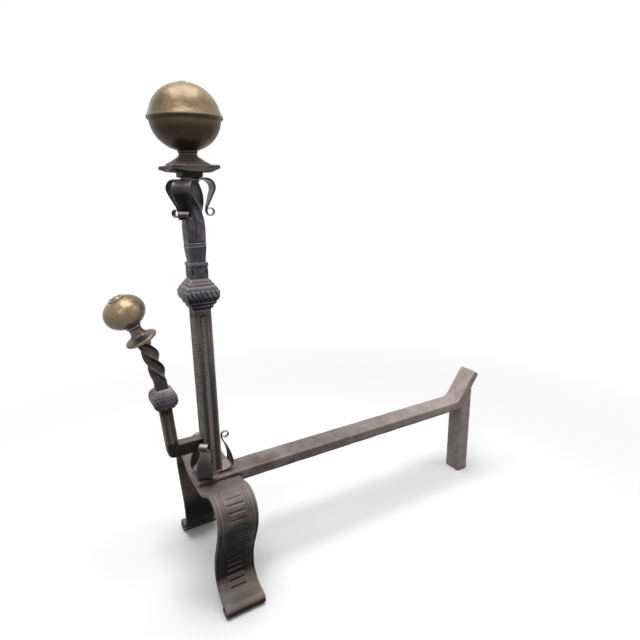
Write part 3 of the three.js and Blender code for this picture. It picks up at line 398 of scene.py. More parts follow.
# Painted shade on the arch's undersides and on its upright faces below 130 mm, fading out by 162
# mm, there partly fire-blackening; faces that look up get a dusting and painted top light. The
# patches are two of rust and a light spot near a toe.
ARCH_IRON = metal(
    "hearth_brown_iron", (0.062, 0.050, 0.045), (0.185, 0.155, 0.140), (0.150, 0.075, 0.045), 0.06,
    (0.34, 0.30, 0.275), (0.42, 0.64), 0.22, 0.5, shade_and_soot=(0.162, 0.130), dust_and_top_light=(0.200, 0.168, 0.156),
    patches=(((0.119, AXIS.y + 0.027, 0.012), 0.020, (0.26, 0.105, 0.055)),
             ((0.104, AXIS.y + 0.030, 0.140), 0.014, (0.30, 0.150, 0.085)),
             ((0.112, AXIS.y - 0.024, 0.022), 0.007, (0.42, 0.35, 0.27))),
)


def strap_rows(line, across, thickness, front, back, edge, relief, worked=1):
    """Rings of a strap along a line, and the dirt in its cuts.

    relief(run, across, width) is cut into the side that worked picks: 1 above, -1 below."""
    x, z, heading, run = line.T
    t, f, b = thickness(run) / 2, front(run), back(run)
    up = np.stack([-np.sin(heading), np.zeros_like(x), np.cos(heading)], axis=1)
    spine = np.stack([x, np.zeros_like(x), z], axis=1)
    rows, grime_and_shade = [], []
    for i, share in enumerate(np.concatenate([across, across[::-1]])):
        side = 1 if i < len(across) else -1
        y = f + share * (b - f)
        inwards = np.minimum(share, 1 - share) * (b - f)
        bite = np.clip(1 - inwards / edge, 0, 1)
        n = t - np.minimum(edge, t) * (1 - np.sqrt(np.clip(1 - bite**2, 0, 1)))
        cut = relief(run, share * (b - f), b - f) if side == worked else 0 * run
        n = side * (n - cut - (FORGED_WAVE - wander(x, z, y + side * t, FORGED_WAVE)) / 2)
        rows.append(spine + up * n[:, None] + np.stack([0 * y, y, 0 * y], axis=1))
        grime_and_shade.append(np.clip(cut - CLEAN_CUT, 0, None) / DIRTY_CUT)
    return np.stack(rows, axis=1), np.stack(grime_and_shade, axis=1)


def arch_thickness(run):
    """The strap's thickness, which is drawn down towards the toes."""
    end = ARCH_LINE[-1, 3]
    return ARCH_THICKNESS + (TOE_THICKNESS - ARCH_THICKNESS) * smooth_step(
        np.abs(run), end - TOE_TAPER_RUN, end)


def arch_relief(run, across, width):
    """The lines along the edges, and the rungs, which sag in the middle down the legs."""
    inwards = np.minimum(across, width - across)
    end = np.abs(run)
    shown = smooth_step(end, LINES_START, LINES_FULL)
    shown = shown * smooth_step(end, RUNG_LAST + 4 * MM, RUNG_LAST)
    lines = sum(graved_line(inwards - d, LINE_WIDTH, LINE_DEPTH) for d in ARCH_LINES)
    bow = 1 - (2 * across / width - 1) ** 2
    end = end - RUNG_SAG * bow * smooth_step(end, SAG_START, SAG_FULL)
    phase = (end - RUNG_FIRST) % RUNG_PITCH
    phase = np.minimum(phase, RUNG_PITCH - phase)
    rungs = np.where((end > RUNG_FIRST - RUNG_WIDTH) & (end < RUNG_LAST),
                     graved_line(phase, RUNG_WIDTH, RUNG_DEPTH), 0)
    rungs = rungs * (0.3 + 0.7 * smooth_step(end, RUNG_FIRST, RUNG_FIRST + RUNG_FADE))
    within = smooth_step(inwards, BORDER, BORDER + BORDER_SLOPE)
    return np.maximum(shown * lines, rungs * within)


def edge_shares(width, edge, lines, line_width):
    """Shares across a strap where its rounded edges and its graved lines need points."""
    near = [0, 0.08 * edge, 0.3 * edge, 0.65 * edge, edge]
    for d in lines:
        near += [d - line_width / 2, d - line_width / 4, d, d + line_width / 4, d + line_width / 2]
    near = sorted(n / width for n in near)
    middle = np.linspace(near[-1], 0.5, 15)[1:]
    half = np.array(near + list(middle))
    return np.concatenate([half, 1 - half[-2::-1]])


ARCH_LINE = bent_line(ARCH_BENDS, ARCH_STEP)
ARCH_LINE[:, 1] += np.max(arch_thickness(ARCH_LINE[:, 3]) / 2 - ARCH_LINE[:, 1])
other_leg = ARCH_LINE[:0:-1] * np.array([-1, 1, -1, -1])
arch_rows, arch_grime = strap_rows(
    np.concatenate([other_leg, ARCH_LINE]),
    edge_shares(ARCH_FRONT + LEG_BACK, ARCH_EDGE, ARCH_LINES, LINE_WIDTH),
    arch_thickness,
    lambda run: np.full_like(run, -ARCH_FRONT),
    lambda run: CROWN_BACK + (LEG_BACK - CROWN_BACK) * smooth_step(
        np.abs(run), SEAT_HALF, SEAT_HALF + CROWN_RUN),
    ARCH_EDGE,
    arch_relief,
)
piece("arch", skin(arch_rows, arch_grime), ARCH_IRON, "bar_iron", "base_arch")

# ---- Billet bar and rear leg -----------------------------------------------------------
# The bar that carries the logs, drawn thin over the arch and turned up at the back as a log
# stop, and the plain leg tenoned into the back of the stop. Both are left as the hammer made
# them, with soft worn edges, and the fire has turned them a light brown-grey.
FORGED_GRAIN = 1.7 * MM
FORGED_ROUNDING = 6
HAMMER_DEPTH = 0.35 * MM
# Its undersides get painted shade.
BAR_IRON = metal(
    "fire_pale_iron", (0.100, 0.078, 0.074), (0.255, 0.208, 0.196), (0.175, 0.100, 0.074), 0.08,
    (0.42, 0.36, 0.34), (0.46, 0.70), 0.20, 0.5, toned=("Y", -0.08, 0.32, (0.42, 0.345, 0.325)),
    shade_and_soot=NO_UPRIGHTS,
)


def forged(mesh, grain=FORGED_GRAIN, rounding=FORGED_ROUNDING, depth=HAMMER_DEPTH):
    """A solid as the hammer leaves it: edges rounded off and faces a little uneven."""
    obj = new_object("forging", mesh)
    remesh = obj.modifiers.new("grain", "REMESH")
    remesh.mode = "VOXEL"
    remesh.voxel_size = grain
    smooth = obj.modifiers.new("worn", "SMOOTH")
    smooth.factor = 0.5
    smooth.iterations = rounding
    worn = obj.evaluated_get(bpy.context.evaluated_depsgraph_get())
    shape = bpy.data.meshes.new_from_object(worn)
    bpy.data.objects.remove(obj)
    count = len(shape.vertices)
    points, normals = np.empty(count * 3), np.empty(count * 3)
    shape.vertices.foreach_get("co", points)
    shape.vertex_normals.foreach_get("vector", normals)
    points, normals = points.reshape(-1, 3), normals.reshape(-1, 3)
    dents = wander(points[:, 0] * 1.7, points[:, 1] * 1.3, points[:, 2] * 1.5, depth)
    points = points + normals * dents[:, None]
    shape.vertices.foreach_set("co", points.ravel())
    return finish_mesh(shape, sharp=60)


def merged_copy(name):
    """A merged copy of a CAD node's mesh."""
    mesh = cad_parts[name].data.copy()
    bm = bmesh.new()
    bm.from_mesh(mesh)
    bmesh.ops.remove_doubles(bm, verts=bm.verts, dist=1e-6)
    bm.to_mesh(mesh)
    bm.free()
    return mesh


piece("log_bar", forged(merged_copy("billet_bar")), BAR_IRON, "bar_iron", "billet_bar")
piece("leg_at_back", forged(merged_copy("rear_leg")), BAR_IRON, "bar_iron", "rear_leg")

# ---- Scrolled straps -------------------------------------------------------------------
# Light straps, three under the cap and three at the foot of the post, each drawn down to a
# scroll. Two lines are graved down the outside of each. Their eyes lie on each other round
# the post.
STRAP_THICKNESS = 3 * MM
STRAP_TIP = 1.6 * MM
STRAP_ROOT = 1.8 * MM
STRAP_WIDTH = 26 * MM
ROOT_TAPER = 3.5 * MM
STRAP_EDGE = 1.1 * MM
STRAP_LINES = (4.6 * MM, 7.4 * MM)
STRAP_LINE_WIDTH = 1.4 * MM
STRAP_STEP = 1.2 * MM
STRAP_LINE_DEPTH = 0.18 * MM
SCROLL_TURN = 290
SCROLL_TIGHTENING = 0.92
# Undersides get painted shade, and faces that look up, such as the top of each bend, a bright
# painted highlight with a dusting.
STRAP_IRON = metal(
    "burnished_strap_iron", (0.020, 0.017, 0.018), (0.066, 0.057, 0.058), (0.090, 0.048, 0.040),
    0.03, (0.26, 0.235, 0.23), (0.28, 0.44), 0.45, 0.35, shade_and_soot=NO_UPRIGHTS,
    dust_and_top_light=(0.62, 0.54, 0.50),
)


def scroll_bends(flat, belly_radius, belly_turn, flank, flank_turn, neck, neck_turn, curl):
    """A strap's bends from the eye out: over the belly, down the flank and neck, and curled up."""
    half_turn = SCROLL_TURN / 2
    return (
        (flat, 0),
        (math.radians(belly_turn) * belly_radius, belly_turn),
        (flank, flank_turn),
        (neck, neck_turn),
        (math.radians(half_turn) * curl, -half_turn),
        (math.radians(half_turn) * SCROLL_TIGHTENING * curl, -half_turn),
    )


def heights(name):
    """The levels of a CAD node's underside and top."""
    return tuple(corner.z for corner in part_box(name))


def eye_rows(radius, half):
    """Rings of the flat round eye that lies round the post."""
    angle = np.linspace(0, 2 * math.pi, 48, endpoint=False)
    profile = ((0.5 * radius, -half), (0.96 * radius, -half), (radius, -0.6 * half),
               (radius, 0.6 * half), (0.96 * radius, half), (0.5 * radius, half))
    return np.array([np.column_stack([r * np.cos(angle), r * np.sin(angle), z + 0 * angle])
                     for r, z in profile])


def gathered(meshes, place=AT_POST):
    """One mesh of several, set in place."""
    bm = bmesh.new()
    for mesh in meshes:
        bm.from_mesh(mesh)
    whole = bpy.data.meshes.new("gathered")
    bm.to_mesh(whole)
    bm.free()
    whole.transform(place)
    return finish_mesh(whole)


def scrolled_strap(bends, scroll_width, place):
    """One strap along +X from the post's axis, its scroll curled up, set at a place."""
    line = bent_line(bends, STRAP_STEP)
    flat, end = bends[0][0], line[-1, 3]
    swelling = smooth_step(line[:, 3], flat - ROOT_TAPER, flat)
    line[:, 1] += (STRAP_THICKNESS - STRAP_ROOT) / 2 * swelling

    def thickness(run):
        full = STRAP_THICKNESS + (STRAP_TIP - STRAP_THICKNESS) * smooth_step(run, flat, end)
        return STRAP_ROOT + (full - STRAP_ROOT) * smooth_step(run, flat - ROOT_TAPER, flat)

    def half(run):
        return (STRAP_WIDTH + (scroll_width - STRAP_WIDTH)
                * smooth_step(run, flat + 0.15 * (end - flat), 0.8 * end)) / 2

    def relief(run, across, width):
        inwards = np.minimum(across, width - across) * STRAP_WIDTH / width
        shown = smooth_step(run, flat - 3 * MM, flat + 3 * MM)
        return shown * sum(
            graved_line(inwards - d, STRAP_LINE_WIDTH, STRAP_LINE_DEPTH) for d in STRAP_LINES)

    across = edge_shares(STRAP_WIDTH, STRAP_EDGE, STRAP_LINES, STRAP_LINE_WIDTH)
    rows, grime_and_shade = strap_rows(line, across, thickness, lambda run: -half(run), half, STRAP_EDGE,
                             relief, worked=-1)
    eye = eye_rows(0.98 * STRAP_WIDTH / 2, 0.9 * STRAP_ROOT / 2)
    return gathered([skin(rows, grime_and_shade, place), skin(eye, place=place)], Matrix())


UPPER_BENDS = scroll_bends(18.8 * MM, 11.4 * MM, 112, 20 * MM, 2, 10 * MM, -28, 5.3 * MM)
LOWER_BENDS = scroll_bends(21 * MM, 9.5 * MM, 95, 34 * MM, 24, 12 * MM, -41, 5.3 * MM)
STRAP_ANGLES = {"right": -40, "left": -140, "back": 90}
UPPER_WIDTHS = {"right": 15 * MM, "left": 9 * MM, "back": 8 * MM}  # of the scrolls
LOWER_WIDTHS = {"right": 14 * MM, "left": 10 * MM, "back": 6 * MM}

for side, angle in STRAP_ANGLES.items():
    turn = Matrix.Rotation(math.radians(angle), 4, "Z")
    low = heights(f"lower_scroll_{side}")[0] + STRAP_ROOT / 2
    at = AT_POST @ Matrix.Translation((0, 0, low)) @ turn
    piece(f"foot_scroll_{side}", scrolled_strap(LOWER_BENDS, LOWER_WIDTHS[side], at),
          STRAP_IRON, "strap_iron", f"lower_scroll_{side}")
    high = heights(f"upper_scroll_{side}")[1] - STRAP_ROOT / 2
    over = AT_POST @ Matrix.Translation((0, 0, high)) @ turn @ Matrix.Rotation(math.pi, 4, "X")
    piece(f"cap_scroll_{side}", scrolled_strap(UPPER_BENDS, UPPER_WIDTHS[side], over),
          STRAP_IRON, "strap_iron", f"upper_scroll_{side}")

# ---- Post ------------------------------------------------------------------------------
# A square bar. Its long shaft has grooves and a ladder of short strokes graved down all four
# sides, and notched corners. Above the capital come a block cut with a cross, a flared waist, a
# corded band, and a swell that carries a lozenge and runs into the twisted head.
SHAFT_HALF = 12.7 * MM
WORN_CORNER = 1.2 * MM
FLAT_SHARE = 0.9  # of a face's points, the rest lie on its rounded corners
CAPITAL_LOW, CAPITAL_HIGH = heights("post_capital")
SHAFT_FOOT = heights("lower_scroll_back")[0] + 2 * MM
HEAD_TOP = heights("cap_block")[0] - 6.2 * MM
BLOCK_Z = CAPITAL_HIGH + 0.2 * MM
WAIST_Z = BLOCK_Z + 23 * MM
BAND_Z = WAIST_Z + 20.4 * MM
SWELL_Z = BAND_Z + 6 * MM
TWIST_Z = SWELL_Z + 20 * MM
TWIST_TURN = math.radians(-96)
LADDER_PROFILE = (  # from a face's middle outwards, and how deep it is cut there
    (0, 0.75), (2.9, 0.75), (3.25, 1.05), (3.6, 0.10), (4.3, 0.10), (4.7, 0.75), (5.2, 0.15),
    (8.5, 0.15), (8.8, 0.60), (9.1, 0.20), (12.7, 0.20),
)
HEAD_PROFILE = (  # a level, how far above it in mm, and half the width there in mm
    (BLOCK_Z, -2, 12.7), (WAIST_Z, -5, 12.7), (WAIST_Z, -3.9, 13.1), (WAIST_Z, -1.2, 13.1),
    (WAIST_Z, 0, 12.4), (WAIST_Z, 0.3, 10.6), (BAND_Z, 0, 12.6), (BAND_Z, 0.7, 13.2),
    (BAND_Z, 1.5, 12.2), (BAND_Z, 4.6, 12.2), (BAND_Z, 5.4, 13.2), (SWELL_Z, 0, 12.6),
    (TWIST_Z, 0, 13.1), (TWIST_Z, 20, 13.4), (TWIST_Z, 33, 12.9), (HEAD_TOP, 0, 10.4),
)
HEAD_STEP = 0.62 * MM
STROKE_PITCH = 3.5 * MM
# Undersides get painted shade, and faces that look up a dusting and painted top light. The brown
# iron and the strokes darken towards the bottom.
DARK_IRON = metal(
    "dark_graved_iron", (0.076, 0.072, 0.090), (0.268, 0.254, 0.288), (0.150, 0.100, 0.088), 0.03,
    (0.38, 0.35, 0.35), (0.36, 0.58), 0.25, 0.45, shade_and_soot=NO_UPRIGHTS, dust_and_top_light=(0.340, 0.272, 0.252),
)
SHAFT_IRON = metal(
    "brown_graved_iron", (0.072, 0.058, 0.058), (0.242, 0.200, 0.198), (0.165, 0.090, 0.072), 0.10,
    (0.27, 0.24, 0.23), (0.40, 0.62), 0.20, 0.5, toned=("Z", 0.40, 0.29, (0.021, 0.017, 0.0165)),
    shade_and_soot=NO_UPRIGHTS, dust_and_top_light=(0.235, 0.215, 0.190),
)
RUBBED_IRON = metal(
    "rubbed_strokes", (0.090, 0.077, 0.075), (0.240, 0.210, 0.206), (0.135, 0.080, 0.064), 0.05,
    (0.27, 0.24, 0.235), (0.34, 0.52), 0.22, 0.3, toned=("Z", 0.42, 0.29, (0.021, 0.017, 0.0165)),
)


def face_shares(breaks, half, corner):
    """Places across a face from -1 up to 1, with points at these distances from its middle."""
    flat = [b / (half - corner) * FLAT_SHARE for b in breaks if 0 < b < half - corner]
    bend = list(np.linspace(FLAT_SHARE, 1, 4))
    return np.array([-b for b in reversed(flat + bend)] + [0] + flat + bend[:-1])


def levels(low, high, step):
    """Even places from low to high, about a step apart."""
    return np.linspace(low, high, max(2, round((high - low) / step) + 1))


def carved_bar(zs, half, across, corner=WORN_CORNER, turn=0.0, hollow=0.0, depth=None):
    """Rings of a square bar up the Z axis, and the dirt in its cuts.

    depth(u, z, half) is cut into each face at u from its middle."""
    half, corner, turn, hollow = (
        np.broadcast_to(value, zs.shape)[:, None] for value in (half, corner, turn, hollow))
    z = zs[:, None] + 0 * across
    bend = np.clip((np.abs(across) - FLAT_SHARE) / (1 - FLAT_SHARE), 0, 1) * (math.pi / 4)
    along = np.minimum(np.abs(across) / FLAT_SHARE, 1) * (half - corner) + corner * np.sin(bend)
    u = np.sign(across) * along
    out = half - corner * (1 - np.cos(bend)) - hollow * (1 - (u / half) ** 2)
    cut = depth(u, z, half) if depth else 0 * z
    rings = []
    for face in range(4):
        angle = turn + face * math.pi / 2
        a = u - np.sign(across) * cut * np.sin(bend)
        o = out - cut * np.cos(bend)
        x = a * np.cos(angle) + o * np.sin(angle)
        y = a * np.sin(angle) - o * np.cos(angle)
        uneven = 1 + (wander(x, y, z, FORGED_WAVE) - FORGED_WAVE) / (2 * half)
        rings.append(np.stack([x * uneven, y * uneven, z], axis=2))
    sunk = 0.35 * hollow / (2 * MM) * (1 - (u / half) ** 2)
    return np.concatenate(rings, axis=1), np.tile(cut / (0.9 * MM) + sunk, 4)


def grooves(u, half):
    """How deep the long grooves are at u from the middle of a face."""
    at, deep = zip(*LADDER_PROFILE)
    return np.interp(np.abs(u) * SHAFT_HALF / half, np.array(at) * MM, np.array(deep) * MM)


def ladder_depth(u, z, half):
    """The shaft's long grooves, which stop short of its two ends."""
    above_foot = smooth_step(z, z.min(), z.min() + 3 * MM)
    return grooves(u, half) * above_foot * smooth_step(
        z, CAPITAL_LOW - 3 * MM, CAPITAL_LOW - 9 * MM)


def cut_along(u, z, start, end, width, depth):
    """A V cut from one point of a face to another, each given as (u, z)."""
    (u0, z0), (u1, z1) = start, end
    length = (u1 - u0) ** 2 + (z1 - z0) ** 2
    t = np.clip(((u - u0) * (u1 - u0) + (z - z0) * (z1 - z0)) / length, 0, 1)
    return graved_line(np.hypot(u - u0 - t * (u1 - u0), z - z0 - t * (z1 - z0)), width, depth)


def head_depth(u, z, half):
    """The cross on the block, the fan on the waist, the lozenge and the lines up the twist."""
    fine, deep = 1.6 * MM, 0.75 * MM
    cut = 0 * u
    low, high = BLOCK_Z + 1.5 * MM, WAIST_Z - 6 * MM
    middle, rise = (low + high) / 2, (high - low) / 2
    reach = 11.2 * MM
    for way in (-1, 1):
        for shift in (-1.7 * MM, 1.7 * MM):
            start, end = (-reach, middle - way * rise + shift), (reach, middle + way * rise + shift)
            cut = np.maximum(cut, cut_along(u, z, start, end, 2.2 * MM, deep))
    for aside, up in ((0, 5.2 * MM), (0, -5.2 * MM), (7 * MM, 0), (-7 * MM, 0)):
        from_middle = np.hypot(u - aside, z - middle - up)
        cut = np.maximum(cut, graved_line(from_middle - 1.1 * MM, 1.4 * MM, deep))
    ground = smooth_step(z, low, low + 0.6 * MM) * smooth_step(z, high, high - 0.6 * MM)
    ground = ground * smooth_step(np.abs(u), reach, reach - 0.6 * MM)
    cut = np.maximum(ground * deep - 2 * cut, 0)
    for edge in (BLOCK_Z + 0.6 * MM, WAIST_Z - 5.4 * MM, SWELL_Z + 1 * MM):
        cut = np.maximum(cut, graved_line(z - edge, fine, deep))

    on_waist = (z > WAIST_Z + 1.5 * MM) & (z < BAND_Z - 1.5 * MM)
    ribs = np.where((u > 0.05 * half) & (u < 0.72 * half),
                    graved_line((u / half) % 0.17 - 0.085, 0.10, 0.5 * deep), 0)
    top, foot = BAND_Z - 2.5 * MM, WAIST_Z + 3 * MM
    for a, b in ((-9.4 * MM, -5.6 * MM), (-1.2 * MM, -5.2 * MM)):
        ribs = np.maximum(ribs, cut_along(u, z, (a, top), (b, foot), fine, 0.6 * deep))
    cut = np.where(on_waist, np.maximum(cut, ribs), cut)

    centre = SWELL_Z + 19 * MM
    lozenge = (np.abs(u) / (10.8 * MM) + np.abs(z - centre) / (17.5 * MM) - 1) * 9.2 * MM
    for shift in (0, 2.4 * MM):
        line = graved_line(lozenge + shift, fine, deep)
        cut = np.maximum(cut, np.where(z > SWELL_Z + 1.5 * MM, line, 0))
    for side in (-1, 1):
        from_middle = np.hypot(u - side * 4.6 * MM, z - centre)
        cut = np.maximum(cut, graved_line(from_middle - 1.5 * MM, 1.2 * MM, 0.6 * MM))
    foot, top = (0, SWELL_Z + 6 * MM), (0, TWIST_Z + 30 * MM)
    cut = np.maximum(cut, cut_along(u, z, foot, top, 2.2 * MM, 1.0 * MM))

    notched = (np.abs(u) > 0.80 * half) & (z > SWELL_Z + 16 * MM) & (z < TWIST_Z + 26 * MM)
    notches = graved_line(z % (2.6 * MM) - 1.3 * MM, 1.6 * MM, 0.5 * MM)
    cut = np.where(notched, np.maximum(cut, notches), cut)
    up_twist = smooth_step(z, TWIST_Z + 6 * MM, TWIST_Z + 14 * MM)
    for share in (0.50, 0.68):
        line = graved_line(np.abs(u) - share * half, 1.4 * MM, 0.6 * MM)
        cut = np.maximum(cut, up_twist * line)
    return cut


def stroke_row_tree():
    """Geometry Nodes: a row of short ridges on the face towards -Y, copied to the other faces."""
    tree = bpy.data.node_groups.new("row_of_strokes", "GeometryNodeTree")
    tree.interface.new_socket("Geometry", in_out="OUTPUT", socket_type="NodeSocketGeometry")
    for name, kind in (("Count", "Int"), ("Start", "Vector"), ("Step", "Vector"),
                       ("Size", "Vector"), ("Lean", "Float"), ("Faces", "Int"),
                       ("Metal", "Material")):
        tree.interface.new_socket(name, in_out="INPUT", socket_type=f"NodeSocket{kind}")
    given = node(tree, "NodeGroupInput").outputs

    def turned_about(axis, angle):
        vector = node(tree, "ShaderNodeCombineXYZ", {axis: angle})
        return node(tree, "FunctionNodeEulerToRotation", {0: vector.outputs[0]}).outputs[0]

    row = node(tree, "GeometryNodeMeshLine", {
        "Count": given["Count"], "Start Location": given["Start"], "Offset": given["Step"]})
    ridge = node(tree, "GeometryNodeMeshCylinder", {"Vertices": 6, "Radius": 0.5, "Depth": 1.0})
    ridges = node(tree, "GeometryNodeInstanceOnPoints", {
        "Points": row.outputs[0], "Instance": ridge.outputs["Mesh"],
        "Rotation": turned_about("Y", given["Lean"]), "Scale": given["Size"]})
    hub = node(tree, "GeometryNodeMeshLine", {"Count": given["Faces"], "Offset": (0, 0, 0)})
    index = node(tree, "GeometryNodeInputIndex")
    quarter = node(tree, "ShaderNodeMath", {0: index.outputs[0], 1: math.pi / 2},
                   operation="MULTIPLY")
    sides = node(tree, "GeometryNodeInstanceOnPoints", {
        "Points": hub.outputs[0], "Instance": ridges.outputs[0],
        "Rotation": turned_about("Z", quarter.outputs[0])})
    real = node(tree, "GeometryNodeRealizeInstances", {0: sides.outputs[0]})
    coat = node(tree, "GeometryNodeSetMaterial", {
        "Geometry": real.outputs[0], "Material": given["Metal"]})
    node(tree, "NodeGroupOutput", {0: coat.outputs[0]})
    return tree


STROKE_ROW = stroke_row_tree()


def strokes(material, count, start, step, size, lean):
    """Rows of ridges on four faces: size is width, height and length, lean is from upright."""
    given = {"Count": count, "Start": start, "Step": step, "Size": size,
             "Lean": math.radians(lean), "Faces": 4, "Metal": material}
    carrier = new_object("strokes", bpy.data.meshes.new("strokes"))
    row = carrier.modifiers.new("row", "NODES")
    row.node_group = STROKE_ROW
    for item in STROKE_ROW.interface.items_tree:
        if item.in_out == "INPUT":
            row[item.identifier] = given[item.name]
    seen = carrier.evaluated_get(bpy.context.evaluated_depsgraph_get())
    mesh = bpy.data.meshes.new_from_object(seen)
    bpy.data.objects.remove(carrier)
    return mesh


def face_strokes(material, low, high, half, pitch=STROKE_PITCH):
    """The ladder's rungs up each face and the notches towards its corners, from low to high."""
    scale = half / SHAFT_HALF
    count = int((high - low) / pitch)
    step = (0, 0, pitch)
    rows = [strokes(material, count, (0, -half + 0.52 * MM, low), step,
                    (1.9 * MM * scale, 1.2 * MM, 6.0 * MM * scale), 78)]
    for side in (-1, 1):
        rows.append(strokes(
            material, count, (side * 10.7 * MM * scale, -half + 0.20 * MM, low), step,
            (1.4 * MM * scale, 0.7 * MM, 3.4 * MM * scale), side * 62))
    return rows


shaft_zs = levels(SHAFT_FOOT, CAPITAL_LOW + 1 * MM, 3 * MM)
ladder_breaks = [at * MM for at, _ in LADDER_PROFILE]
piece("post_shaft", skin(*carved_bar(
    shaft_zs, SHAFT_HALF, face_shares(ladder_breaks, SHAFT_HALF, WORN_CORNER),
    depth=ladder_depth)), SHAFT_IRON, "dark_iron", "post")
piece("shaft_strokes", gathered(face_strokes(
    RUBBED_IRON, SHAFT_FOOT + 4 * MM, CAPITAL_LOW - 9 * MM, SHAFT_HALF)), RUBBED_IRON, "dark_iron")

head_zs = np.concatenate([
    levels(BLOCK_Z - 2 * MM, BLOCK_Z, 2 * MM), levels(BLOCK_Z + 0.2 * MM, WAIST_Z, HEAD_STEP),
    levels(WAIST_Z + 0.3 * MM, HEAD_TOP, HEAD_STEP)])
head_half = np.interp(head_zs, [level + up * MM for level, up, _ in HEAD_PROFILE],
                      [half * MM for *_, half in HEAD_PROFILE])
up_head = np.clip((head_zs - TWIST_Z) / (HEAD_TOP - TWIST_Z), 0, 1)
piece("post_head", skin(*carved_bar(
    head_zs, head_half, face_shares(levels(0, 12 * MM, 0.66 * MM), SHAFT_HALF, WORN_CORNER),
    corner=WORN_CORNER * (1 + 2 * smooth_step(up_head, 0.55, 1)), turn=TWIST_TURN * up_head**1.6,
    hollow=0.9 * MM * smooth_step(up_head, 0, 0.5), depth=head_depth)), DARK_IRON, "dark_iron")
piece("corded_bands", gathered([
    strokes(RUBBED_IRON, 10, (-11.0 * MM, -13.0 * MM, WAIST_Z - 2.6 * MM), (2.44 * MM, 0, 0),
            (1.5 * MM, 0.9 * MM, 4.3 * MM), 28),
    strokes(RUBBED_IRON, 10, (-10.6 * MM, -12.2 * MM, BAND_Z + 3 * MM), (2.36 * MM, 0, 0),
            (1.2 * MM, 0.8 * MM, 3.4 * MM), 32),
]), RUBBED_IRON, "dark_iron")

# ---- Capital ---------------------------------------------------------------------------
# A heavy square collar of forged iron, shrunk on the post. A slope with two rolls leads out to a
# rounded belly, which slanting lobes are cut across, and one with two rows of dentils leads in.
COLLAR_PROFILE = (  # share of the height, and half width from the neck (0) to the ridge (1)
    (0, 0), (0.03, 0.03), (0.05, 0.14), (0.08, 0.24), (0.12, 0.30), (0.16, 0.30), (0.17, 0.27),
    (0.18, 0.42), (0.20, 0.52), (0.24, 0.60), (0.275, 0.61), (0.285, 0.57), (0.30, 0.67),
    (0.36, 0.84), (0.43, 0.95), (0.50, 0.99), (0.56, 1), (0.61, 0.985), (0.645, 0.95),
    (0.655, 0.88), (0.67, 0.87), (0.79, 0.62), (0.80, 0.55), (0.815, 0.54), (0.895, 0.34),
    (0.905, 0.27), (0.915, 0.27), (0.96, 0.13), (1, 0.03),
)
LOBES = 7  # on each face


def collar_depth(height, pitch, scale):
    """The dentils and lobes of a collar that stands from z = 0 to this height."""

    def depth(u, z, half):
        share = z / height
        phase = u / half * LOBES / 2 + 3.0 * (share - 0.25)
        between = np.abs(((phase + 0.5) % 1) - 0.5)
        belly = smooth_step(share, 0.30, 0.42) * smooth_step(share, 0.66, 0.63)
        cut = 1.2 * MM * scale * smooth_step(between, 0.33, 0.5) * belly
        for low, high, shift in ((0.675, 0.72, 0), (0.82, 0.86, 0.5)):
            tooth = np.abs(((u / pitch + shift) % 1) - 0.5)
            row = smooth_step(share, low - 0.006, low + 0.006) * smooth_step(
                share, high + 0.006, high - 0.006)
            cut = np.maximum(cut, 0.8 * MM * scale * row * smooth_step(tooth, 0.22, 0.34))
        for line in (0.66, 0.805, 0.908):
            seam = graved_line((share - line) * height, 1.7 * MM * scale, 0.8 * MM * scale)
            cut = np.maximum(cut, seam)
        return cut

    return depth


def collar(height, widest, neck, pitch, scale, fullness=1.0):
    """Rings of a moulded collar from z = 0 up, rounder with more fullness, and their dirt."""
    corner = 1.9 * MM * scale
    shares, outs = np.array(COLLAR_PROFILE).T
    outs = 1 - (1 - outs) ** fullness
    zs = np.unique(np.concatenate([shares, np.linspace(0, 1, 64)])) * height
    half = neck + (widest - neck) * np.interp(zs / height, shares, outs)
    across = face_shares(levels(0, widest, 0.5 * MM), widest, corner)
    return carved_bar(zs, half, across, corner, depth=collar_depth(height, pitch, scale))


capital = collar(CAPITAL_HIGH - CAPITAL_LOW, 24.5 * MM, 13.1 * MM, pitch=3.1 * MM, scale=1.0)
piece("capital", skin(*capital, place=AT_POST @ Matrix.Translation((0, 0, CAPITAL_LOW))),
      DARK_IRON, "dark_iron", "post_capital")

# ---- Cap block and cap plate -----------------------------------------------------------
# A small square block and a heavy square plate of forged iron, threaded on the post's tang. The
# plate's sides are hollowed between blunt corners that are thinned from below, and its edges are
# hatched all round.
CAP_BLOCK_HALF = 14.5 * MM
PLATE_LOW, PLATE_HIGH = heights("cap_plate")
PLATE_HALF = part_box("cap_plate")[1].x - AXIS.x
PLATE_HOLLOW = 2.6 * MM
PLATE_TIP_CUT = 2.5 * MM
PLATE_BEVEL_START = 27 * MM
PLATE_TIP_RISE = 4 * MM
PLATE_EDGE = 1.2 * MM
PLATE_SIDE_POINTS = 132
PLATE_SHARES = (0.15, 0.5, 0.72, 0.86, 1)  # where its top and underside have rings of points
HATCH_PITCH, HATCH_DEPTH = 2.3 * MM, 0.6 * MM
# Near-black iron for the block under the plate: painted shade, where the plate's shadow falls.
SHADE_BLACK_IRON = metal(
    "shade_black_iron", (0.012, 0.011, 0.013), (0.034, 0.031, 0.036), (0.050, 0.032, 0.028), 0.02,
    (0.10, 0.09, 0.09), (0.45, 0.65), 0.20, 0.4,
)

block_low, block_high = heights("cap_block")
block_zs = np.array([block_low, block_low + 1 * MM, block_low + 3 * MM, block_high])
block_across = face_shares(levels(2 * MM, 12 * MM, 2 * MM), CAP_BLOCK_HALF, WORN_CORNER)
piece("block_under_plate", skin(*carved_bar(
    block_zs, CAP_BLOCK_HALF - np.array([1, 0, 0, 0]) * MM, block_across)),
    SHADE_BLACK_IRON, "dark_iron", "cap_block")


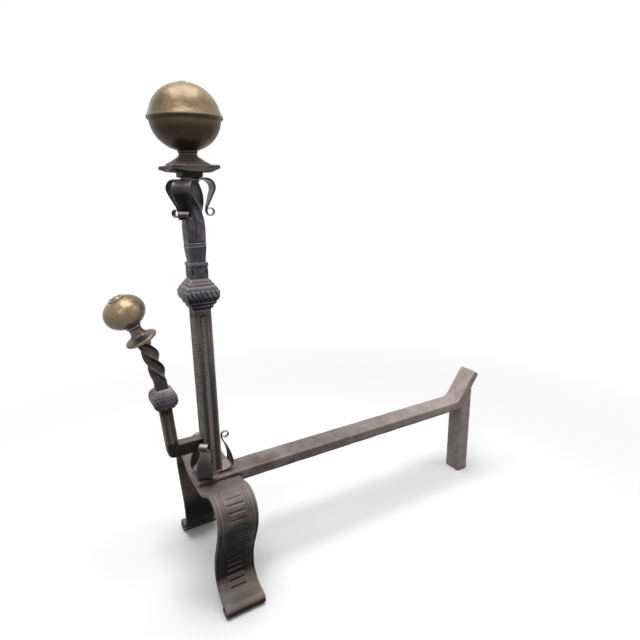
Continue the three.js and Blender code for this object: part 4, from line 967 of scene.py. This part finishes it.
def plate_outline():
    """Points round the plate, the way out from each, and how far along its side each lies."""
    t = np.linspace(0, 1, PLATE_SIDE_POINTS)
    reach = PLATE_HALF - PLATE_TIP_CUT
    side = np.stack([(2 * t - 1) * reach, -(PLATE_HALF - 4 * PLATE_HOLLOW * t * (1 - t))], axis=1)
    points, ways = [], []
    for face in range(4):
        a = face * math.pi / 2
        turn = np.array([[math.cos(a), math.sin(a)], [-math.sin(a), math.cos(a)]])
        points.append(side @ turn)
        ways.append(np.tile([math.sin(a), -math.cos(a)], (len(t), 1)))
    return np.concatenate(points), np.concatenate(ways), np.tile(t * 2 * reach, 4)


def plate_rows():
    """Rings from the middle of the underside out, up the hatched edge and in over the top."""
    points, ways, along = plate_outline()
    corner_way = np.abs(points).sum(axis=1) / math.sqrt(2)
    bevel = PLATE_HALF * math.sqrt(2) - PLATE_BEVEL_START

    def inset(share):
        return points * share - ways * PLATE_EDGE * (share == 1)

    def underside(share):
        rise = (corner_way * share - PLATE_BEVEL_START) / bevel
        return PLATE_LOW + PLATE_TIP_RISE * np.clip(rise, 0, 1)

    plain = [0 * along] * len(PLATE_SHARES)
    rows = [np.column_stack([inset(share), underside(share)]) for share in PLATE_SHARES]
    grime_and_shade = []
    low = underside(1) + PLATE_EDGE
    for up in np.linspace(0, 1, 9):
        hatch = np.abs(((along / HATCH_PITCH + 0.9 * up) % 1) - 0.5)
        cut = HATCH_DEPTH * smooth_step(hatch, 0.15, 0.42) * (0 < up < 1)
        z = low + (PLATE_HIGH - PLATE_EDGE - low) * up
        rows.append(np.column_stack([points - ways * cut[:, None], z]))
        grime_and_shade.append(cut / (0.7 * MM))
    for share in reversed(PLATE_SHARES):
        rows.append(np.column_stack([inset(share), 0 * along + PLATE_HIGH]))
    return np.array(rows), np.array(plain + grime_and_shade + plain)


piece("plate", skin(*plate_rows()), SHAFT_IRON, "dark_iron", "cap_plate")

# ---- Ball and pedestal -----------------------------------------------------------------
# Antique brass, spun and turned. Two hollow halves meet in a flared band round the ball's
# middle, on a turned conical foot. The iron tang is riveted over at the very top.
BALL_MIDDLE = heights("ball_lower_half")[1] + 0.1 * MM
BALL_RADIUS = 46 * MM
BALL_BOWL = 41.5 * MM
BALL_TOP = 43.2 * MM
# The ball's brass darkens from 10 mm above its middle to 18 mm below it: painted shade on its lower
# half.
BRASS = metal(
    "antique_brass", (0.135, 0.098, 0.058), (0.300, 0.222, 0.135), (0.085, 0.062, 0.040), 0.03,
    (0.36, 0.28, 0.175), (0.28, 0.46), 0.55, 0.25,
    toned=("Z", BALL_MIDDLE + 10 * MM, BALL_MIDDLE - 18 * MM, (0.062, 0.038, 0.023)),
)
# The pedestal's brass: undersides get painted shade, and faces that look up a dusting and painted
# top light.
DULL_BRASS = metal(
    "smoked_brass", (0.040, 0.032, 0.029), (0.115, 0.092, 0.082), (0.060, 0.044, 0.034), 0.03,
    (0.15, 0.12, 0.11), (0.34, 0.50), 0.30, 0.3, shade_and_soot=NO_UPRIGHTS, dust_and_top_light=(0.215, 0.170, 0.155),
)
TURNED_SIDES = 112


def turned(profile, place, sides=TURNED_SIDES, painted_shadow_band=None):
    """A round piece from (radius, height) points, from the axis below to the axis above.
    painted_shadow_band is the two heights between which a painted shadow thickens on it."""
    radius, height = np.array(profile).T
    angle = np.linspace(0, 2 * math.pi, sides, endpoint=False)
    keep = radius > 0.05 * MM
    r, z = radius[keep][:, None], height[keep][:, None]
    rows = np.stack([r * np.cos(angle), r * np.sin(angle), z + 0 * angle], axis=2)
    grime_and_shade = 0.9 * smooth_step(z + 0 * angle, *painted_shadow_band) if painted_shadow_band else None
    return skin(rows, grime_and_shade, place, sharp=50)


def rounded(radius, height, low, high, steps=26):
    """Points on an upright ellipse between two angles in degrees above its middle."""
    return [(radius * math.cos(a), height * math.sin(a))
            for a in np.radians(np.linspace(low, high, steps))]


def in_mm(points, up=0.0):
    """Points given in millimetres, in metres and raised."""
    return [(r * MM, up + z * MM) for r, z in points]


piece("ball_foot", turned(in_mm((
    (20, 0), (28.4, 0), (29.1, 0.4), (29.3, 1.1), (29.0, 1.8), (28.2, 2.2), (27.5, 2.3), (24, 4.2),
    (19, 7.3), (14.2, 10.4), (13.4, 10.9), (12.6, 12.2), (12.1, 14), (12.1, 15.4), (12.4, 16.1),
    (13.3, 16.4), (13.4, 17.2), (13.1, 18.1), (12, 18.4),
), heights("ball_pedestal")[0]), AT_POST), DULL_BRASS, "antique_brass", "ball_pedestal")
at_ball = AT_POST @ Matrix.Translation((0, 0, BALL_MIDDLE))
# The bowl gets a painted shadow that thickens up to the flared band above it.
piece("ball_bowl", turned(rounded(BALL_RADIUS, BALL_BOWL, -73, -5.6) + in_mm((
    (46.6, -2.7), (48.2, -1.4), (49, -0.7), (48.6, -0.15), (44, -0.15),
)), at_ball, painted_shadow_band=(-8 * MM, -3 * MM)), BRASS, "antique_brass", "ball_lower_half")
piece("ball_dome", turned(in_mm((
    (44, 0.15), (48.6, 0.15), (48.9, 0.7), (48.5, 1.7), (47.4, 3.6), (46.2, 6.2), (45.0, 9.4),
)) + rounded(BALL_RADIUS, BALL_TOP, 18, 89.5, 34), at_ball), BRASS, "antique_brass",
    "ball_upper_half")
piece("ball_rivet", turned(
    [(r, BALL_TOP + 0.1 * MM + z) for r, z in rounded(5.2 * MM, 1.8 * MM, 0, 88, 8)],
    at_ball, 32), BRASS, "antique_brass")

# ---- Guard -----------------------------------------------------------------------------
# The arm comes forward from a hole through the post and turns up into a square guard. Its foot
# is graved like the post's shaft, a smaller collar of the capital's pattern is shrunk on it, and
# the twisted upper part leans forward under a turned brass knob.
GUARD_HALF = 8.4 * MM
ARM_Z = heights("guard_bar")[0] + 10.5 * MM
GUARD_FOOT = Vector((0, -57 * MM, ARM_Z))
GUARD_LEAN, GUARD_TOP_LEAN = math.radians(4.2), math.radians(24)
GUARD_STRAIGHT, GUARD_CURVE = 101 * MM, 76 * MM
GUARD_SEAT = GUARD_STRAIGHT + GUARD_CURVE
GUARD_TWIST_START = 113.5 * MM
GUARD_TWIST_TURN = math.radians(-225)
GUARD_COLLAR_FOOT, GUARD_COLLAR_HEIGHT = 68.5 * MM, 31.8 * MM


def on_guard(run):
    """Where the guard's axis is at a run along it from the corner, as a place to build on."""
    radius = GUARD_CURVE / (GUARD_TOP_LEAN - GUARD_LEAN)
    curved = min(max(run - GUARD_STRAIGHT, 0), GUARD_CURVE)
    lean = GUARD_LEAN + curved / radius
    straight = min(run, GUARD_STRAIGHT)
    past = max(0, run - GUARD_SEAT)
    y = (-straight * math.sin(GUARD_LEAN) - radius * (math.cos(GUARD_LEAN) - math.cos(lean))
         - past * math.sin(lean))
    z = (straight * math.cos(GUARD_LEAN) + radius * (math.sin(lean) - math.sin(GUARD_LEAN))
         + past * math.cos(lean))
    return Matrix.Translation(GUARD_FOOT + Vector((0, y, z))) @ Matrix.Rotation(lean, 4, "X")


def bent_to_guard(rows):
    """Rings built up the Z axis, each carried to its own run along the guard."""
    bent = np.empty_like(rows)
    for i, ring in enumerate(rows):
        place = np.array(on_guard(ring[:, 2].mean()))
        flat = ring - [0, 0, ring[:, 2].mean()]
        bent[i] = flat @ place[:3, :3].T + place[:3, 3]
    return bent


def guard_depth(u, z, half):
    """The ladder below the collar, and lines that start up the twist."""
    cut = 0.8 * grooves(u, GUARD_HALF)
    cut = cut * smooth_step(z, 12 * MM, 15 * MM) * smooth_step(z, 66 * MM, 62 * MM)
    feather = graved_line((z - 0.8 * np.abs(u)) % (2.4 * MM) - 1.2 * MM, 1.5 * MM, 0.5 * MM)
    shown = smooth_step(z, 101 * MM, 103 * MM) * smooth_step(z, 116 * MM, 112 * MM)
    return np.maximum(cut, feather * shown)


def arm_alone():
    """The CAD guard without its upright."""
    mesh = merged_copy("guard_bar")
    bm = bmesh.new()
    bm.from_mesh(mesh)
    bmesh.ops.bisect_plane(bm, geom=bm.verts[:] + bm.edges[:] + bm.faces[:], clear_outer=True,
                           plane_co=(0, 0, ARM_Z + 10.4 * MM), plane_no=(0, 0, 1))
    bmesh.ops.holes_fill(bm, edges=[e for e in bm.edges if e.is_boundary])
    bm.to_mesh(mesh)
    bm.free()
    return mesh


piece("guard_arm", forged(arm_alone(), 1.1 * MM, 4, 0.2 * MM), SHAFT_IRON, "dark_iron",
      "guard_bar")

guard_zs = np.concatenate([levels(0, GUARD_TWIST_START, 1.3 * MM)[:-1],
                           levels(GUARD_TWIST_START, GUARD_SEAT, 0.8 * MM)])
guard_breaks = [at * MM * GUARD_HALF / SHAFT_HALF for at, _ in LADDER_PROFILE]
up_twist = np.clip((guard_zs - GUARD_TWIST_START) / (GUARD_SEAT - GUARD_TWIST_START), 0, 1)
twisting = smooth_step(up_twist, 0, 0.2)
guard_rows, guard_grime = carved_bar(
    guard_zs, GUARD_HALF + 0.6 * MM * np.sin(math.pi * up_twist),
    face_shares(guard_breaks, GUARD_HALF, 1 * MM), corner=MM * (1 + 1.2 * twisting),
    turn=GUARD_TWIST_TURN * up_twist, hollow=2.0 * MM * twisting, depth=guard_depth)
piece("guard_upright", skin(bent_to_guard(guard_rows), guard_grime), SHAFT_IRON, "dark_iron")
piece("guard_strokes", gathered(
    face_strokes(RUBBED_IRON, 14 * MM, 64 * MM, GUARD_HALF, 3.0 * MM),
    AT_POST @ on_guard(0)), RUBBED_IRON, "dark_iron")
guard_collar = collar(GUARD_COLLAR_HEIGHT, 17.3 * MM, 9.2 * MM, pitch=2.6 * MM, scale=0.72,
                      fullness=1.8)
piece("collar_on_guard", skin(*guard_collar, place=AT_POST @ on_guard(GUARD_COLLAR_FOOT)),
      DARK_IRON, "dark_iron", "guard_collar")

# ---- Guard's saucer and knob -----------------------------------------------------------
# Turned antique brass on the guard's tang: a bell-shaped saucer with a waisted neck, and a
# flattened hollow knob whose halves meet below its middle, closed by a small washer and the
# riveted tang.
KNOB_RADIUS, KNOB_HALF_HEIGHT = 27.8 * MM, 22.3 * MM
KNOB_SEAM = -6 * MM
SAUCER_SEAT = GUARD_SEAT + 0.2 * MM
KNOB_MIDDLE = SAUCER_SEAT + 25.2 * MM + 20.81 * MM
KNOB_LIP, KNOB_GAP = 26.3 * MM, 0.12 * MM  # where its halves meet
KNOB_BRASS = metal(
    "antique_brass_knob", (0.115, 0.080, 0.045), (0.270, 0.198, 0.118), (0.080, 0.058, 0.038),
    0.04, (0.27, 0.205, 0.13), (0.26, 0.42), 0.68, 0.25,
    toned=("Z", 0.446, 0.425, (0.165, 0.135, 0.112)),
)
piece("saucer", turned(in_mm((
    (12, 0), (17.5, 0), (19.8, 0.3), (21.3, 1.1), (22.0, 2.3), (21.9, 3.5), (21.2, 4.6),
    (19.9, 5.5), (18.0, 6.3), (15.6, 7.2), (13.2, 8.5), (11.2, 10.2), (9.7, 12.4), (8.8, 15),
    (8.5, 17.5), (8.7, 19.6), (9.1, 21.4), (10.2, 22.3), (10.6, 23.0), (10.5, 24.2), (10, 25),
)), AT_POST @ on_guard(SAUCER_SEAT)), KNOB_BRASS, "antique_brass", "guard_saucer")
seam_angle = math.degrees(math.asin(KNOB_SEAM / KNOB_HALF_HEIGHT))
at_knob = AT_POST @ on_guard(KNOB_MIDDLE)
piece("knob_bowl", turned(
    rounded(KNOB_RADIUS, KNOB_HALF_HEIGHT, -68.9, seam_angle - 1.6, 20)
    + [(KNOB_LIP, KNOB_SEAM - KNOB_GAP)], at_knob),
    KNOB_BRASS, "antique_brass", "guard_knob_lower_half")
piece("knob_dome", turned(
    [(KNOB_LIP, KNOB_SEAM + KNOB_GAP)]
    + rounded(KNOB_RADIUS, KNOB_HALF_HEIGHT, seam_angle + 1.6, 67.8, 34), at_knob),
    KNOB_BRASS, "antique_brass", "guard_knob_upper_half")
piece("knob_disc", turned(in_mm((
    (10, 0), (10.5, 0.3), (10.4, 1.1), (9.6, 1.6), (7.6, 1.62), (7.2, 1.35), (6.2, 1.35),
    (5.8, 1.8), (5.2, 2.5), (4.0, 3.1), (2.0, 3.45), (0.3, 3.5),
)), AT_POST @ on_guard(KNOB_MIDDLE + 20.85 * MM), 48), KNOB_BRASS, "antique_brass",
    "guard_knob_washer")

# ---- Foot washer and riveted tenon -----------------------------------------------------
# The post's round tenon goes down through straps, bar and arch, and is hammered over a plain iron
# washer under the crown.
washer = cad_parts["foot_washer"].data
washer.materials.clear()
washer.materials.append(ARCH_IRON)
washer_low = heights("foot_washer")[0]
piece("foot_rivet", turned(
    [(r, washer_low - 0.2 * MM + z) for r, z in rounded(10.5 * MM, 4 * MM, -88, 0, 10)]
    + [(7 * MM, washer_low - 0.1 * MM), (7 * MM, SHAFT_FOOT + 1 * MM)], AT_POST, 40),
    ARCH_IRON, "bar_iron")
